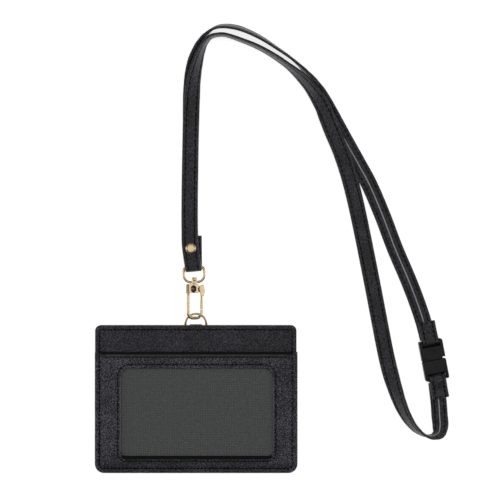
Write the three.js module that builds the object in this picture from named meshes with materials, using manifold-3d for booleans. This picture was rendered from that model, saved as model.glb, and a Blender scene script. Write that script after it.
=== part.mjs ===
// Lanyard badge holder: a window pocket on a folded strap loop, joined by a D-ring,
// a sprung snap hook with a swivel, and a pull-apart clasp in the loop.
// Millimetres, +Z up. The holder lies on its back at z = 0 and the origin is the
// centre of its back face: +X across the card, +Y towards the strap.
import * as THREE from 'three'
import { mergeVertices } from 'three/addons/utils/BufferGeometryUtils.js'
import Module from 'manifold-3d'

const wasm = await Module()
wasm.setup()

// ---------------------------------------------------------------- driving dimensions
const GAP = 0.3 // clearance kept between neighbouring pieces

const HOLDER_W = 110 // across the card
const HOLDER_H = 80.5 // along the strap
const TOP_Y = 40.25 // the holder's top edge, where the D-ring hangs
const HOLDER_TOP_R = 3
const HOLDER_BOTTOM_R = 5
const LEATHER_T = 0.8 // back and front leather
const CORE_H = 2.8 // space between back and front leather
const BOARD_INSET = 3.2
const EDGE_BAND_W = 2.6 // turned-in leather round the rim
const STITCH_INSET = 2.45
const THREAD_R = 0.25

const POCKET_TOP_Y = 25.8 // mouth of the card pocket
const POCKET_EXTRA_W = 0.5 // the pocket panel stands this much proud on the right
const PANEL_T = 0.85
const PANEL_PUFF = 1.15 // rise of the padded pocket panel
const WINDOW_W = 82.5
const WINDOW_H = 47.6
const WINDOW_X = 0.65
const WINDOW_Y = -7
const WINDOW_TOP_R = 4.5
const WINDOW_BOTTOM_R = 2.5
const WINDOW_STITCH = 1.8 // from the window's edge
const FILM_T = 0.25
const FILM_MARGIN = 3
const LINING_MARGIN = 4
const LINING_T = 0.4
const HEM_W = 2.9
const HEM_T = 0.35

const RING_WIRE = 1.3 // D-ring
const RING_HALF = 5.7 // to the wire's centre
const RING_REACH = 7.1 // from the bar's centre to the arc's
const RING_PITCH = 10.5 // degrees above the table
const RING_BAR_INSET = 0.7 // bar's centre below the holder's top edge
const TAB_W = 6.5
const TAB_T = 0.4
const TAB_LENGTH = 11

const HOOK_ROLL = 32 // degrees about the long axis: left bar over the D-ring, right bar under it
const HOOK_X = -0.55
const HOOK_Y = TOP_Y + 3.95 // underside of the hook's bottom bend
const HOOK_HALF = 4.2 // half the distance between its two bars
const HOOK_BAR_W = 1.8
const HOOK_BAR_T = 1.5
const HOOK_BEND_R = 3
const HOOK_NOSE_V = 4.6 // height of the nose above the bend
const HEAD_LOW_V = 13.6
const HEAD_TOP_V = 18.5
const HEAD_DEPTH = 3.2
const TONGUE_DEPTH = 1.4
const GATE_LEAF_T = 0.75
const PIN_U = 2.5
const PIN_V = 15.7
const PIN_R = 0.55
const SPRING_R = 1.25
const STEM_U = -0.3 // swivel axis, in the hook's own plane
const STEM_R = 0.75
const KNOB_R = 1.5
const COLLAR_R = 1.9
const COLLAR_L = 1.6

const STRAP_RING_WIRE = 1.5
const STRAP_RING_HALF = 5.6
const STRAP_RING_H = 8.2 // bottom bar's centre to top bar's centre
const STRAP_RING_TURN = 2.5 // degrees anticlockwise in plan
const SWIVEL_Z = 3.25 // height of the swivel axis and of the strap ring

const STRAP_W = 9
const STRAP_T = 1.5
const TAIL_LENGTH = 17
const TAIL_TURN = 0.5 // degrees: the tail runs a little to the right of the strap
const RIVET_X = -2.65
const RIVET_Y = 82.2
const RIVET_CAP_R = 2.85
const RIVET_CAP_H = 1.2
const RIVET_SHANK_R = 1
const RIVET_BACK_T = 0.4

const CLASP_X = 130 // middle of the seam between its halves
const CLASP_Y = 21.3
const CLASP_TURN = 10.8 // degrees anticlockwise from upright
const CLASP_W = 12.9
const CLASP_HALF_L = 11
const CLASP_H = 5.2
const CLASP_SLOT_L = 3.8
const CLASP_BAR_R = 0.6
const CLASP_BAR_INSET = 0.9
const TONGUE_W = 8
const TONGUE_T = 1.8
const TONGUE_L = 5
const DIMPLE_R = 1.5
const LOOP_W = 9.4
const LOOP_LENGTH = 11

// Free straps, from the holder's end to the clasp: centre x, y, z and the roll in degrees
// about the direction of travel. At roll 0 a strap lies flat with its outer face up (front
// strap) or down (rear strap); towards -90 it stands on edge.
const FRONT_STRAP_ROUTE = [
  [-1.6, 73, 5.05, 0],
  [-3.1, 84, 5.05, 0],
  [-3.3, 92, 4.7, 0],
  [-3.4, 100, 3.6, 0],
  [-3.4, 110, 2.7, 0],
  [-3.2, 125, 2.65, 0],
  [-2.6, 152, 3.2, -4],
  [-2.1, 163, 4.2, -17],
  [-1.1, 174, 5.1, -35],
  [0.7, 182.7, 5.3, -52],
  [3, 190.3, 4.9, -68],
  [5.4, 194.9, 4.75, -81],
  [8.4, 197.8, 4.7, -88],
  [11.8, 198.7, 4.7, -90],
  [15.5, 198.8, 4.7, -90],
  [24.5, 196, 4.7, -88],
  [36, 191.1, 4.7, -85],
  [49, 182.8, 5, -80],
  [60.3, 172.6, 5.3, -56],
  [68.6, 160.8, 4.8, -26],
  [71.6, 153.8, 3.9, -10],
  [74.4, 146.8, 2.9, 0],
  [79.4, 134.9, 2.65, 0],
  [83.7, 121.8, 2.65, 0],
  [87.2, 108.4, 1.9, 0],
  [91, 91.2, 0.9, 0],
  [97.2, 60, 0.95, 0],
  [103.8, 25.7, 1.05, -1],
  [106.2, 15, 1.9, -12],
  [108.8, 5.8, 3.1, -30],
  [111.4, -2, 3.9, -43],
  [114.8, -9.4, 4.45, -55],
  [119.2, -15.6, 4.75, -68],
  [124.6, -19.7, 4.9, -82],
  [129.4, -20.6, 4.7, -98],
  [132.9, -18.6, 4.1, -128],
  [133.8, -14.5, 2.5, -158],
  [133.5, -9.5, 1.2, -176],
  [133.1, -3, 0.85, -180],
  [131.8, 8.6, 0.85, -180],
]
const REAR_STRAP_ROUTE = [
  [-2.1, 75.4, 3.25, 0],
  [-2.9, 82, 3.25, 0],
  [-3.3, 92, 2.85, 0],
  [-3.4, 100, 1.8, 0],
  [-3.4, 110, 0.9, 0],
  [-3.2, 125, 0.85, 0],
  [-3, 140, 0.85, 0],
  [-2.8, 152, 1.2, -4],
  [-2.8, 163, 2.2, -17],
  [-2.6, 174.1, 3.4, -35],
  [-1.6, 183.4, 4.2, -52],
  [0.9, 191.4, 4.4, -68],
  [3.7, 196.5, 4.7, -80],
  [7.1, 200.3, 4.75, -93],
  [10.5, 202.6, 4.7, -102],
  [14.3, 203.5, 4.65, -107],
  [19.4, 203.3, 4.6, -110],
  [24, 202.3, 4.6, -110],
  [29.9, 200, 4.6, -108],
  [36.8, 196.4, 4.65, -105],
  [44.1, 191.6, 4.7, -101],
  [50.4, 187.3, 4.7, -99],
  [55.8, 182.8, 4.7, -94],
  [60.4, 178, 4.7, -83],
  [64.4, 172.8, 4.4, -66],
  [68.2, 166.6, 3.6, -46],
  [71.5, 160.2, 2.7, -28],
  [74.6, 154.2, 1.85, -12],
  [78.4, 147.4, 0.95, -1],
  [83.6, 138, 0.85, 0],
  [88.4, 129.4, 0.85, 0],
  [94.9, 117.4, 0.85, 0],
  [102.3, 100.1, 0.85, 0],
  [109, 82.4, 0.85, 0],
  [116.4, 65, 0.85, 0],
  [121.4, 52, 0.85, 0],
  [125, 41, 0.85, 0],
  [127.1, 32.8, 0.85, 0],
]

// ---------------------------------------------------------------- heights in the stack
const CORE_LOW = LEATHER_T
const CORE_HIGH = CORE_LOW + CORE_H
const FRONT_TOP = CORE_HIGH + LEATHER_T
const PANEL_LOW = FRONT_TOP + GAP // underside of the sewn-down rim
const PANEL_RIM_TOP = PANEL_LOW + PANEL_T
const PUFF_LOW = PANEL_LOW + PANEL_PUFF // underside of the raised part
const PUFF_TOP = PUFF_LOW + PANEL_T
const BOTTOM_Y = TOP_Y - HOLDER_H
const RIGHT_X = HOLDER_W / 2

// ---------------------------------------------------------------- materials
const looks = {
  leather: { color: 0x2c2b30, roughness: 0.55, metalness: 0 },
  strap: { color: 0x2b2b2d, roughness: 0.5, metalness: 0 },
  lining: { color: 0x3f3f3f, roughness: 0.9, metalness: 0 },
  film: { color: 0xbfc4c6, roughness: 0.15, metalness: 0 },
  thread: { color: 0x1f1f22, roughness: 0.8, metalness: 0 },
  gold: { color: 0xc9ab7c, roughness: 0.25, metalness: 1 },
  clasp: { color: 0x262627, roughness: 0.5, metalness: 0 },
  board: { color: 0x8a7a66, roughness: 0.9, metalness: 0 },
  steel: { color: 0xa9a9aa, roughness: 0.35, metalness: 1 },
}

function piece(name, geometry, look) {
  const mesh = new THREE.Mesh(geometry, new THREE.MeshStandardMaterial(looks[look]))
  mesh.name = name
  return mesh
}

// ---------------------------------------------------------------- solid helpers
function toSolid(geometry) {
  const bare = geometry.clone()
  bare.deleteAttribute('normal')
  bare.deleteAttribute('uv')
  const merged = mergeVertices(bare, 1e-4)
  return new wasm.Manifold(
    new wasm.Mesh({
      numProp: 3,
      vertProperties: Float32Array.from(merged.attributes.position.array),
      triVerts: Uint32Array.from(merged.index.array),
    })
  )
}

function fromSolid(solid) {
  const mesh = solid.getMesh()
  const geometry = new THREE.BufferGeometry()
  geometry.setAttribute('position', new THREE.BufferAttribute(mesh.vertProperties, 3))
  geometry.setIndex(new THREE.BufferAttribute(mesh.triVerts, 1))
  geometry.computeVertexNormals()
  return geometry
}

function join(...geometries) {
  return fromSolid(geometries.map(toSolid).reduce((a, b) => a.add(b)))
}

function cut(geometry, ...tools) {
  return fromSolid(tools.map(toSolid).reduce((a, b) => a.subtract(b), toSolid(geometry)))
}

function box(x0, x1, y0, y1, z0, z1) {
  const geometry = new THREE.BoxGeometry(x1 - x0, y1 - y0, z1 - z0)
  return geometry.translate((x0 + x1) / 2, (y0 + y1) / 2, (z0 + z1) / 2)
}

function plate(shape, z0, z1, curveSegments = 6) {
  const options = { depth: z1 - z0, bevelEnabled: false, curveSegments }
  return new THREE.ExtrudeGeometry(shape, options).translate(0, 0, z0)
}

// A round bar between two heights; its axis is Z.
function rod(radius, z0, z1, sides = 20) {
  const geometry = new THREE.CylinderGeometry(radius, radius, z1 - z0, sides)
  return geometry.rotateX(Math.PI / 2).translate(0, 0, (z0 + z1) / 2)
}

// Skin over a row of equal rings of points, capped at both ends unless it closes on itself.
function loft(rings, closed = false) {
  const sides = rings[0].length
  const points = rings.flat()
  const faces = []
  const last = closed ? rings.length : rings.length - 1
  for (let i = 0; i < last; i++) {
    const a = i * sides
    const b = ((i + 1) % rings.length) * sides
    for (let k = 0; k < sides; k++) {
      const m = (k + 1) % sides
      faces.push(a + k, a + m, b + k, b + k, a + m, b + m)
    }
  }
  if (!closed) {
    const end = (rings.length - 1) * sides
    for (let k = 1; k < sides - 1; k++) {
      faces.push(0, k + 1, k)
      faces.push(end, end + k, end + k + 1)
    }
  }
  const geometry = new THREE.BufferGeometry().setFromPoints(points)
  geometry.setIndex(faces)
  geometry.computeVertexNormals()
  return geometry
}

// A wire or moulding of oval section along a path that lies in the XY plane.
function flatWire(path, across, depth, closed = false, sides = 12) {
  const count = path.length
  const rings = path.map((p, i) => {
    const before = path[closed ? (i + count - 1) % count : Math.max(i - 1, 0)]
    const after = path[closed ? (i + 1) % count : Math.min(i + 1, count - 1)]
    const side = new THREE.Vector2(before.y - after.y, after.x - before.x).normalize()
    return Array.from({ length: sides }, (_, k) => {
      const a = (2 * Math.PI * k) / sides
      const reach = (Math.cos(a) * across) / 2
      return new THREE.Vector3(p.x + side.x * reach, p.y + side.y * reach, (Math.sin(a) * depth) / 2)
    })
  })
  return loft(rings, closed)
}

// A strap of flat section: each station is [x, y, z, roll]. The section's first axis starts
// as the right-hand side of travel and is turned by the roll.
function ribbon(stations, width, thickness, steps) {
  const curve = new THREE.CatmullRomCurve3(stations.map((s) => new THREE.Vector3(s[0], s[1], s[2])))
  const a = width / 2
  const b = thickness / 2
  const r = b * 0.55
  const section = [
    [-a, r - b],
    [-a, b - r],
    [r - a, b],
    [a - r, b],
    [a, b - r],
    [a, r - b],
    [a - r, -b],
    [r - a, -b],
  ]
  const spans = stations.length - 1
  const rings = Array.from({ length: steps + 1 }, (_, i) => {
    const t = curve.getUtoTmapping(i / steps)
    const at = curve.getPoint(t)
    const travel = curve.getTangent(t)
    const right = new THREE.Vector3().crossVectors(travel, new THREE.Vector3(0, 0, 1)).normalize()
    const up = new THREE.Vector3().crossVectors(right, travel)
    const span = Math.min(Math.floor(t * spans), spans - 1)
    const share = THREE.MathUtils.smoothstep(t * spans - span, 0, 1) * 0.5 + (t * spans - span) * 0.5
    const roll = THREE.MathUtils.degToRad(
      THREE.MathUtils.lerp(stations[span][3], stations[span + 1][3], share)
    )
    const wide = right.clone().multiplyScalar(Math.cos(roll)).addScaledVector(up, Math.sin(roll))
    const face = new THREE.Vector3().crossVectors(wide, travel)
    return section.map(([p, q]) => at.clone().addScaledVector(wide, p).addScaledVector(face, q))
  })
  return loft(rings)
}

// Rounded rectangle from its corner arcs: radii run anticlockwise from the lower left.
function roundedPath(x0, x1, y0, y1, radii, cornerSteps = 6, sideSteps = 1) {
  const corners = [
    [x0, y0, 1, 1, Math.PI],
    [x1, y0, -1, 1, 1.5 * Math.PI],
    [x1, y1, -1, -1, 0],
    [x0, y1, 1, -1, 0.5 * Math.PI],
  ]
  const arcs = corners.map(([x, y, sx, sy, from], c) => {
    const r = radii[c]
    return Array.from({ length: cornerSteps + 1 }, (_, i) => {
      const a = from + (i / cornerSteps) * (Math.PI / 2)
      return new THREE.Vector2(x + sx * r + Math.cos(a) * r, y + sy * r + Math.sin(a) * r)
    })
  })
  return arcs.flatMap((arc, c) => {
    const next = arcs[(c + 1) % 4][0]
    const end = arc[arc.length - 1]
    const side = Array.from({ length: sideSteps - 1 }, (_, i) =>
      end.clone().lerp(next, (i + 1) / sideSteps)
    )
    return [...arc, ...side]
  })
}

function holderOutline(inset) {
  const top = Math.max(HOLDER_TOP_R - inset, 0.5)
  const bottom = Math.max(HOLDER_BOTTOM_R - inset, 0.5)
  return roundedPath(
    -RIGHT_X + inset,
    RIGHT_X - inset,
    BOTTOM_Y + inset,
    TOP_Y - inset,
    [bottom, bottom, top, top]
  )
}

function windowOutline(grow, cornerSteps = 6, sideSteps = 1) {
  const top = WINDOW_TOP_R + grow
  const bottom = WINDOW_BOTTOM_R + grow
  return roundedPath(
    WINDOW_X - WINDOW_W / 2 - grow,
    WINDOW_X + WINDOW_W / 2 + grow,
    WINDOW_Y - WINDOW_H / 2 - grow,
    WINDOW_Y + WINDOW_H / 2 + grow,
    [bottom, bottom, top, top],
    cornerSteps,
    sideSteps
  )
}

function shapeWithHole(outline, hole) {
  const shape = new THREE.Shape(outline)
  shape.holes.push(new THREE.Path(hole))
  return shape
}

// ---------------------------------------------------------------- holder
function backPanel() {
  return piece('back_panel', plate(new THREE.Shape(holderOutline(0)), 0, LEATHER_T), 'leather')
}

function frontPanel() {
  const shape = shapeWithHole(holderOutline(0), windowOutline(LINING_MARGIN))
  return piece('front_panel', plate(shape, CORE_HIGH, FRONT_TOP), 'leather')
}

function edgeBand() {
  const clear = RING_HALF + RING_WIRE / 2 + 2 * GAP
  const ring = shapeWithHole(holderOutline(0.1), holderOutline(EDGE_BAND_W))
  const low = CORE_LOW + GAP
  const high = CORE_HIGH - GAP
  const mouth = box(-clear, clear, TOP_Y - EDGE_BAND_W - 1, TOP_Y + 1, low - 1, high + 1)
  return piece('edge_band', cut(plate(ring, low, high), mouth), 'leather')
}

function paddingBoard() {
  const low = CORE_LOW + GAP
  const high = CORE_HIGH - GAP
  const half = TAB_W / 2 + GAP
  const board = plate(new THREE.Shape(holderOutline(BOARD_INSET)), low, high)
  const notch = box(-half, half, TOP_Y - RING_BAR_INSET - TAB_LENGTH - GAP, TOP_Y, low - 1, high + 1)
  return piece('padding_board', cut(board, notch), 'board')
}

// Leather tab folded round the D-ring's bar, seen from the side and extruded along the bar.
function ringTab() {
  const inner = RING_WIRE / 2 + 0.15
  const outer = inner + TAB_T
  const shape = new THREE.Shape()
  shape.moveTo(-TAB_LENGTH, -outer)
  shape.lineTo(0, -outer)
  shape.absarc(0, 0, outer, -Math.PI / 2, Math.PI / 2, false)
  shape.lineTo(-TAB_LENGTH, outer)
  shape.lineTo(-TAB_LENGTH, inner)
  shape.lineTo(0, inner)
  shape.absarc(0, 0, inner, Math.PI / 2, -Math.PI / 2, true)
  shape.lineTo(-TAB_LENGTH, -inner)
  const side = plate(shape, -TAB_W / 2, TAB_W / 2, 10)
  side.rotateY(Math.PI / 2).rotateX(Math.PI / 2)
  const tab = piece('ring_tab', side, 'leather')
  tab.position.set(0, TOP_Y - RING_BAR_INSET, CORE_LOW + CORE_H / 2)
  return tab
}

function pocketLining() {
  const shape = new THREE.Shape(windowOutline(LINING_MARGIN - GAP))
  const high = FRONT_TOP - GAP
  return piece('pocket_lining', plate(shape, high - LINING_T, high), 'lining')
}

function windowFilm() {
  const shape = new THREE.Shape(windowOutline(FILM_MARGIN))
  const high = PUFF_LOW - GAP
  return piece('window_film', plate(shape, high - FILM_T, high), 'film')
}

function panelOutline(inset, cornerSteps, sideSteps) {
  const bottom = Math.max(HOLDER_BOTTOM_R - inset, 0.4)
  return roundedPath(
    -RIGHT_X + inset,
    RIGHT_X + POCKET_EXTRA_W - inset,
    BOTTOM_Y + inset,
    POCKET_TOP_Y - inset,
    [bottom, bottom, 0.4, 0.4],
    cornerSteps,
    sideSteps
  )
}

// The padded pocket panel: low where it is sewn down round three sides, raised towards the
// window, and raised right to its free upper edge, the pocket's mouth.
function windowPanel() {
  const steps = [5, 12]
  const rim = (inset, z) => ({ path: panelOutline(inset, ...steps), z, sewn: true })
  const frame = (grow, z) => ({ path: windowOutline(grow, ...steps), z, sewn: false })
  const section = [
    rim(0, PANEL_LOW),
    rim(STITCH_INSET + 0.8, PANEL_LOW),
    rim(STITCH_INSET + 2.6, PUFF_LOW),
    frame(0, PUFF_LOW),
    frame(0, PUFF_LOW + 0.6 * PANEL_T),
    frame(0.4, PUFF_TOP - 0.1),
    frame(WINDOW_STITCH, PUFF_TOP - 0.15),
    frame(WINDOW_STITCH + 1.4, PUFF_TOP),
    rim(STITCH_INSET + 2.4, PUFF_TOP - 0.2),
    rim(STITCH_INSET + 0.5, PANEL_RIM_TOP),
    rim(0.4, PANEL_RIM_TOP),
    rim(0, PANEL_RIM_TOP - 0.3),
  ]
  const edge = section[0].path
  const rings = edge.map((at, i) => {
    const fromSide = RIGHT_X - Math.abs(at.x)
    const mouth = at.y > POCKET_TOP_Y - 0.5
    const open = mouth ? THREE.MathUtils.smoothstep(fromSide, STITCH_INSET + 1, STITCH_INSET + 7) : 0
    return section.map(({ path, z, sewn }) => {
      const rise = sewn ? open * (PUFF_TOP - PANEL_RIM_TOP) : 0
      const ceiling = z < PANEL_RIM_TOP - 0.4 ? PUFF_LOW : PUFF_TOP
      return new THREE.Vector3(path[i].x, path[i].y, Math.max(z, Math.min(z + rise, ceiling)))
    })
  })
  return piece('window_panel', loft(rings, true), 'leather')
}

// The turned-under edge along the pocket's mouth.
function pocketHem() {
  const half = RIGHT_X - STITCH_INSET - 8
  const high = PUFF_LOW - GAP
  const top = POCKET_TOP_Y - 0.2
  const aboveFilm = WINDOW_Y + WINDOW_H / 2 + FILM_MARGIN + GAP
  const low = Math.max(aboveFilm, POCKET_TOP_Y - HEM_W)
  return piece('pocket_hem', box(-half, half, low, top, high - HEM_T, high), 'leather')
}

function threadLoop(name, path) {
  return piece(name, loft(threadRings(path), true), 'thread')
}

function threadRings(path) {
  return path.map((p, i) => {
    const before = path[(i + path.length - 1) % path.length]
    const after = path[(i + 1) % path.length]
    const travel = after.clone().sub(before).normalize()
    const side = new THREE.Vector3().crossVectors(new THREE.Vector3(0, 0, 1), travel).normalize()
    const up = new THREE.Vector3().crossVectors(travel, side)
    return Array.from({ length: 6 }, (_, k) => {
      const a = (2 * Math.PI * k) / 6
      const reach = p.clone().addScaledVector(side, Math.cos(a) * THREAD_R)
      return reach.addScaledVector(up, Math.sin(a) * THREAD_R)
    })
  })
}

function perimeterThread() {
  const rest = GAP + THREAD_R
  const low = FRONT_TOP + rest
  const high = PANEL_RIM_TOP + rest
  const outline = holderOutline(STITCH_INSET)
  const stepped = outline.flatMap((p, i) => {
    const next = outline[(i + 1) % outline.length]
    const crosses = (p.y - POCKET_TOP_Y) * (next.y - POCKET_TOP_Y) < 0
    if (!crosses) return [p]
    const up = next.y > p.y ? 1 : -1
    const below = new THREE.Vector2(p.x, POCKET_TOP_Y - 0.4 * up)
    const above = new THREE.Vector2(p.x, POCKET_TOP_Y + 1.6 * up)
    return [p, below, above]
      .sort((a, b) => up * (a.y - b.y))
  })
  const path = stepped.map((p) => new THREE.Vector3(p.x, p.y, p.y > POCKET_TOP_Y + 0.9 ? low : high))
  return threadLoop('perimeter_thread', path)
}

function windowThread() {
  const z = PUFF_TOP + GAP + THREAD_R
  const path = windowOutline(WINDOW_STITCH).map((p) => new THREE.Vector3(p.x, p.y, z))
  return threadLoop('window_thread', path)
}

function hemThread() {
  const half = RIGHT_X - STITCH_INSET - 4
  const z = PUFF_TOP + GAP + THREAD_R
  const y = POCKET_TOP_Y - HEM_W + 0.1
  const line = new THREE.CylinderGeometry(THREAD_R, THREAD_R, 2 * half, 6)
  return piece('hem_thread', line.rotateZ(Math.PI / 2).translate(0, y, z), 'thread')
}

// ---------------------------------------------------------------- D-ring
function arcPoints(x, y, r, from, to, steps) {
  return Array.from({ length: steps + 1 }, (_, i) => {
    const a = THREE.MathUtils.degToRad(from + ((to - from) * i) / steps)
    return new THREE.Vector2(x + r * Math.cos(a), y + r * Math.sin(a))
  })
}

function holderRing() {
  const foot = 0.9
  const path = [
    ...arcPoints(-RING_HALF + foot, foot, foot, 180, 270, 4),
    ...arcPoints(RING_HALF - foot, foot, foot, 270, 360, 4),
    ...arcPoints(0, RING_REACH - RING_HALF, RING_HALF, 0, 180, 20),
  ]
  const ring = piece('holder_ring', flatWire(path, RING_WIRE, RING_WIRE, true, 12), 'gold')
  ring.position.set(0, TOP_Y - RING_BAR_INSET, CORE_LOW + CORE_H / 2)
  ring.rotation.x = THREE.MathUtils.degToRad(RING_PITCH)
  return ring
}

// ---------------------------------------------------------------- snap hook
// Built flat in its own plane, with its bottom bend at y = 0, then rolled about its length.
function hookFrame() {
  const path = [
    new THREE.Vector2(-HOOK_HALF, HEAD_TOP_V - 0.6),
    new THREE.Vector2(-HOOK_HALF, HOOK_BEND_R + 4),
    ...arcPoints(-HOOK_HALF + HOOK_BEND_R, HOOK_BEND_R, HOOK_BEND_R, 180, 270, 7),
    ...arcPoints(HOOK_HALF - HOOK_BEND_R, HOOK_BEND_R, HOOK_BEND_R, 270, 360, 7),
    new THREE.Vector2(HOOK_HALF, HOOK_NOSE_V),
  ]
  const bar = flatWire(path, HOOK_BAR_W, HOOK_BAR_T)
  const half = HEAD_DEPTH / 2
  const block = box(-HOOK_HALF - 0.3, STEM_U + 1.9, HEAD_LOW_V, HEAD_TOP_V, -half, half)
  const tongueHalf = TONGUE_DEPTH / 2
  const tongueTop = Math.min(PIN_V + 1.9, HEAD_TOP_V - 0.6)
  const tongue = box(0, PIN_U + 1.6, HEAD_LOW_V + 0.4, tongueTop, -tongueHalf, tongueHalf)
  const pinHole = rod(PIN_R + 0.1, -half, half).translate(PIN_U, PIN_V, 0)
  const springPocket = rod(SPRING_R + 0.15, 0, half + 1).translate(PIN_U, PIN_V, 0)
  const postBore = new THREE.CylinderGeometry(STEM_R + 0.15, STEM_R + 0.15, 3, 20)
  postBore.translate(STEM_U, HEAD_TOP_V - 1, 0)
  return piece('hook_frame', cut(join(bar, block, tongue), pinHole, springPocket, postBore), 'gold')
}

// Gate bar with a thumb leaf that turns on the pin in front of the hook's tongue.
const LEAF_LOW = TONGUE_DEPTH / 2 + 0.25
const LEAF_HIGH = LEAF_LOW + GATE_LEAF_T

function hookGate() {
  const foot = HOOK_NOSE_V + GAP
  const bar = flatWire(
    [foot, foot + 1, HEAD_LOW_V - 0.8].map((v) => new THREE.Vector2(HOOK_HALF, v)),
    HOOK_BAR_W,
    HOOK_BAR_T
  )
  const left = STEM_U + 1.9 + GAP
  const leaf = new THREE.Shape()
  leaf.moveTo(HOOK_HALF - 1, HEAD_LOW_V - 1.6)
  leaf.lineTo(HOOK_HALF + 0.8, HEAD_LOW_V - 1.6)
  leaf.quadraticCurveTo(HOOK_HALF + 1.6, PIN_V - 1, HOOK_HALF + 0.7, HEAD_TOP_V - 0.3)
  leaf.quadraticCurveTo(left + 1, HEAD_TOP_V - 0.1, left, PIN_V + 1)
  leaf.lineTo(left, PIN_V - 0.4)
  const thumb = plate(leaf, LEAF_LOW, LEAF_HIGH, 6)
  const bridge = box(HOOK_HALF - 0.9, HOOK_HALF + 0.7, HEAD_LOW_V - 1.6, HEAD_LOW_V - 0.1, 0, LEAF_HIGH)
  const hole = rod(PIN_R + 0.1, 0, LEAF_HIGH + 1).translate(PIN_U, PIN_V, 0)
  return piece('hook_gate', cut(join(bar, thumb, bridge), hole), 'gold')
}

function gatePin() {
  const back = -TONGUE_DEPTH / 2 - 0.05
  const front = LEAF_HIGH + 0.05
  const head = 0.35
  const profile = [
    [0, back - head],
    [PIN_R + head, back - head],
    [PIN_R + head, back],
    [PIN_R, back],
    [PIN_R, front],
    [PIN_R + head, front],
    [PIN_R + head, front + head],
    [0, front + head],
  ].map(([r, h]) => new THREE.Vector2(r, h))
  const pin = new THREE.LatheGeometry(profile, 16).rotateX(Math.PI / 2).translate(PIN_U, PIN_V, 0)
  return piece('gate_pin', pin, 'gold')
}

// Outer shape of the torsion spring's coil, in its pocket round the pin.
function gateSpring() {
  const inner = PIN_R + 0.2
  const low = 0.1
  const high = TONGUE_DEPTH / 2 - 0.05
  const profile = [
    [inner, low],
    [SPRING_R, low],
    [SPRING_R, high],
    [inner, high],
    [inner, low],
  ].map(([r, h]) => new THREE.Vector2(r, h))
  const ring = new THREE.LatheGeometry(profile, 20).rotateX(Math.PI / 2).translate(PIN_U, PIN_V, 0)
  return piece('gate_spring', ring, 'steel')
}

// Swivel post: its foot is fixed in the hook's head, its neck turns in the strap ring's collar.
function swivelPost() {
  const collarLow = HEAD_TOP_V + GAP
  const knobLow = collarLow + COLLAR_L + GAP
  const profile = [
    [0, HEAD_TOP_V - 2.2],
    [STEM_R, HEAD_TOP_V - 2.2],
    [STEM_R, knobLow],
    [KNOB_R, knobLow],
    [KNOB_R, knobLow + 1.1],
    [KNOB_R - 0.3, knobLow + 1.5],
    [0, knobLow + 1.5],
  ].map(([r, h]) => new THREE.Vector2(r, h))
  return piece('swivel_post', new THREE.LatheGeometry(profile, 20).translate(STEM_U, 0, 0), 'gold')
}

function hook() {
  const group = new THREE.Group()
  const roll = THREE.MathUtils.degToRad(HOOK_ROLL)
  group.add(hookFrame(), hookGate(), gatePin(), gateSpring(), swivelPost())
  group.position.set(HOOK_X, HOOK_Y, SWIVEL_Z + STEM_U * Math.sin(roll))
  group.rotation.y = roll
  return group
}

// ---------------------------------------------------------------- strap ring
const COLLAR_MID_Y = HOOK_Y + HEAD_TOP_V + GAP + COLLAR_L / 2
const SWIVEL_X = HOOK_X + STEM_U * Math.cos(THREE.MathUtils.degToRad(HOOK_ROLL))

// Built with the middle of its collar at the origin.
function strapRing() {
  const low = 3.6
  const high = 1.6
  const path = [
    ...arcPoints(-STRAP_RING_HALF + low, low, low, 180, 270, 7),
    ...arcPoints(STRAP_RING_HALF - low, low, low, 270, 360, 7),
    ...arcPoints(STRAP_RING_HALF - high, STRAP_RING_H - high, high, 0, 90, 5),
    ...arcPoints(-STRAP_RING_HALF + high, STRAP_RING_H - high, high, 90, 180, 5),
  ]
  const wire = flatWire(path, STRAP_RING_WIRE, STRAP_RING_WIRE, true)
  const collar = new THREE.CylinderGeometry(COLLAR_R, COLLAR_R, COLLAR_L, 20)
  const bore = new THREE.CylinderGeometry(STEM_R + 0.25, STEM_R + 0.25, COLLAR_L + 2, 20)
  const ring = piece('strap_ring', cut(join(wire, collar), bore), 'gold')
  ring.position.set(SWIVEL_X, COLLAR_MID_Y, SWIVEL_Z)
  ring.rotation.z = THREE.MathUtils.degToRad(STRAP_RING_TURN)
  return ring
}

// ---------------------------------------------------------------- straps and rivet
function rivetHole() {
  return rod(RIVET_SHANK_R + GAP, -1, 12, 16).translate(RIVET_X, RIVET_Y, 0)
}

function frontStrap() {
  const strap = ribbon(FRONT_STRAP_ROUTE, STRAP_W, STRAP_T, 80)
  return piece('front_strap', cut(strap, rivetHole()), 'strap')
}

function rearStrap() {
  const strap = ribbon(REAR_STRAP_ROUTE, STRAP_W, STRAP_T, 78)
  return piece('rear_strap', cut(strap, rivetHole()), 'strap')
}

// A strip folded round a bar: seen from the side the bar's centre is the origin, the front
// leg runs up from it for `front`, sinking by `drop`, and the back leg for `back`.
function foldedStrip(width, thickness, inner, front, back, drop = 0) {
  const outer = inner + thickness
  const shape = new THREE.Shape()
  shape.moveTo(front, outer - drop)
  if (drop) shape.lineTo(front * 0.45, outer - drop)
  shape.lineTo(0, outer)
  shape.absarc(0, 0, outer, Math.PI / 2, 1.5 * Math.PI, false)
  shape.lineTo(back, -outer)
  shape.lineTo(back, -inner)
  shape.lineTo(0, -inner)
  shape.absarc(0, 0, inner, 1.5 * Math.PI, Math.PI / 2, true)
  if (drop) shape.lineTo(front * 0.45, inner - drop)
  shape.lineTo(front, inner - drop)
  const strip = plate(shape, -width / 2, width / 2, 10)
  return strip.rotateY(Math.PI / 2).rotateX(Math.PI / 2)
}

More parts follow.
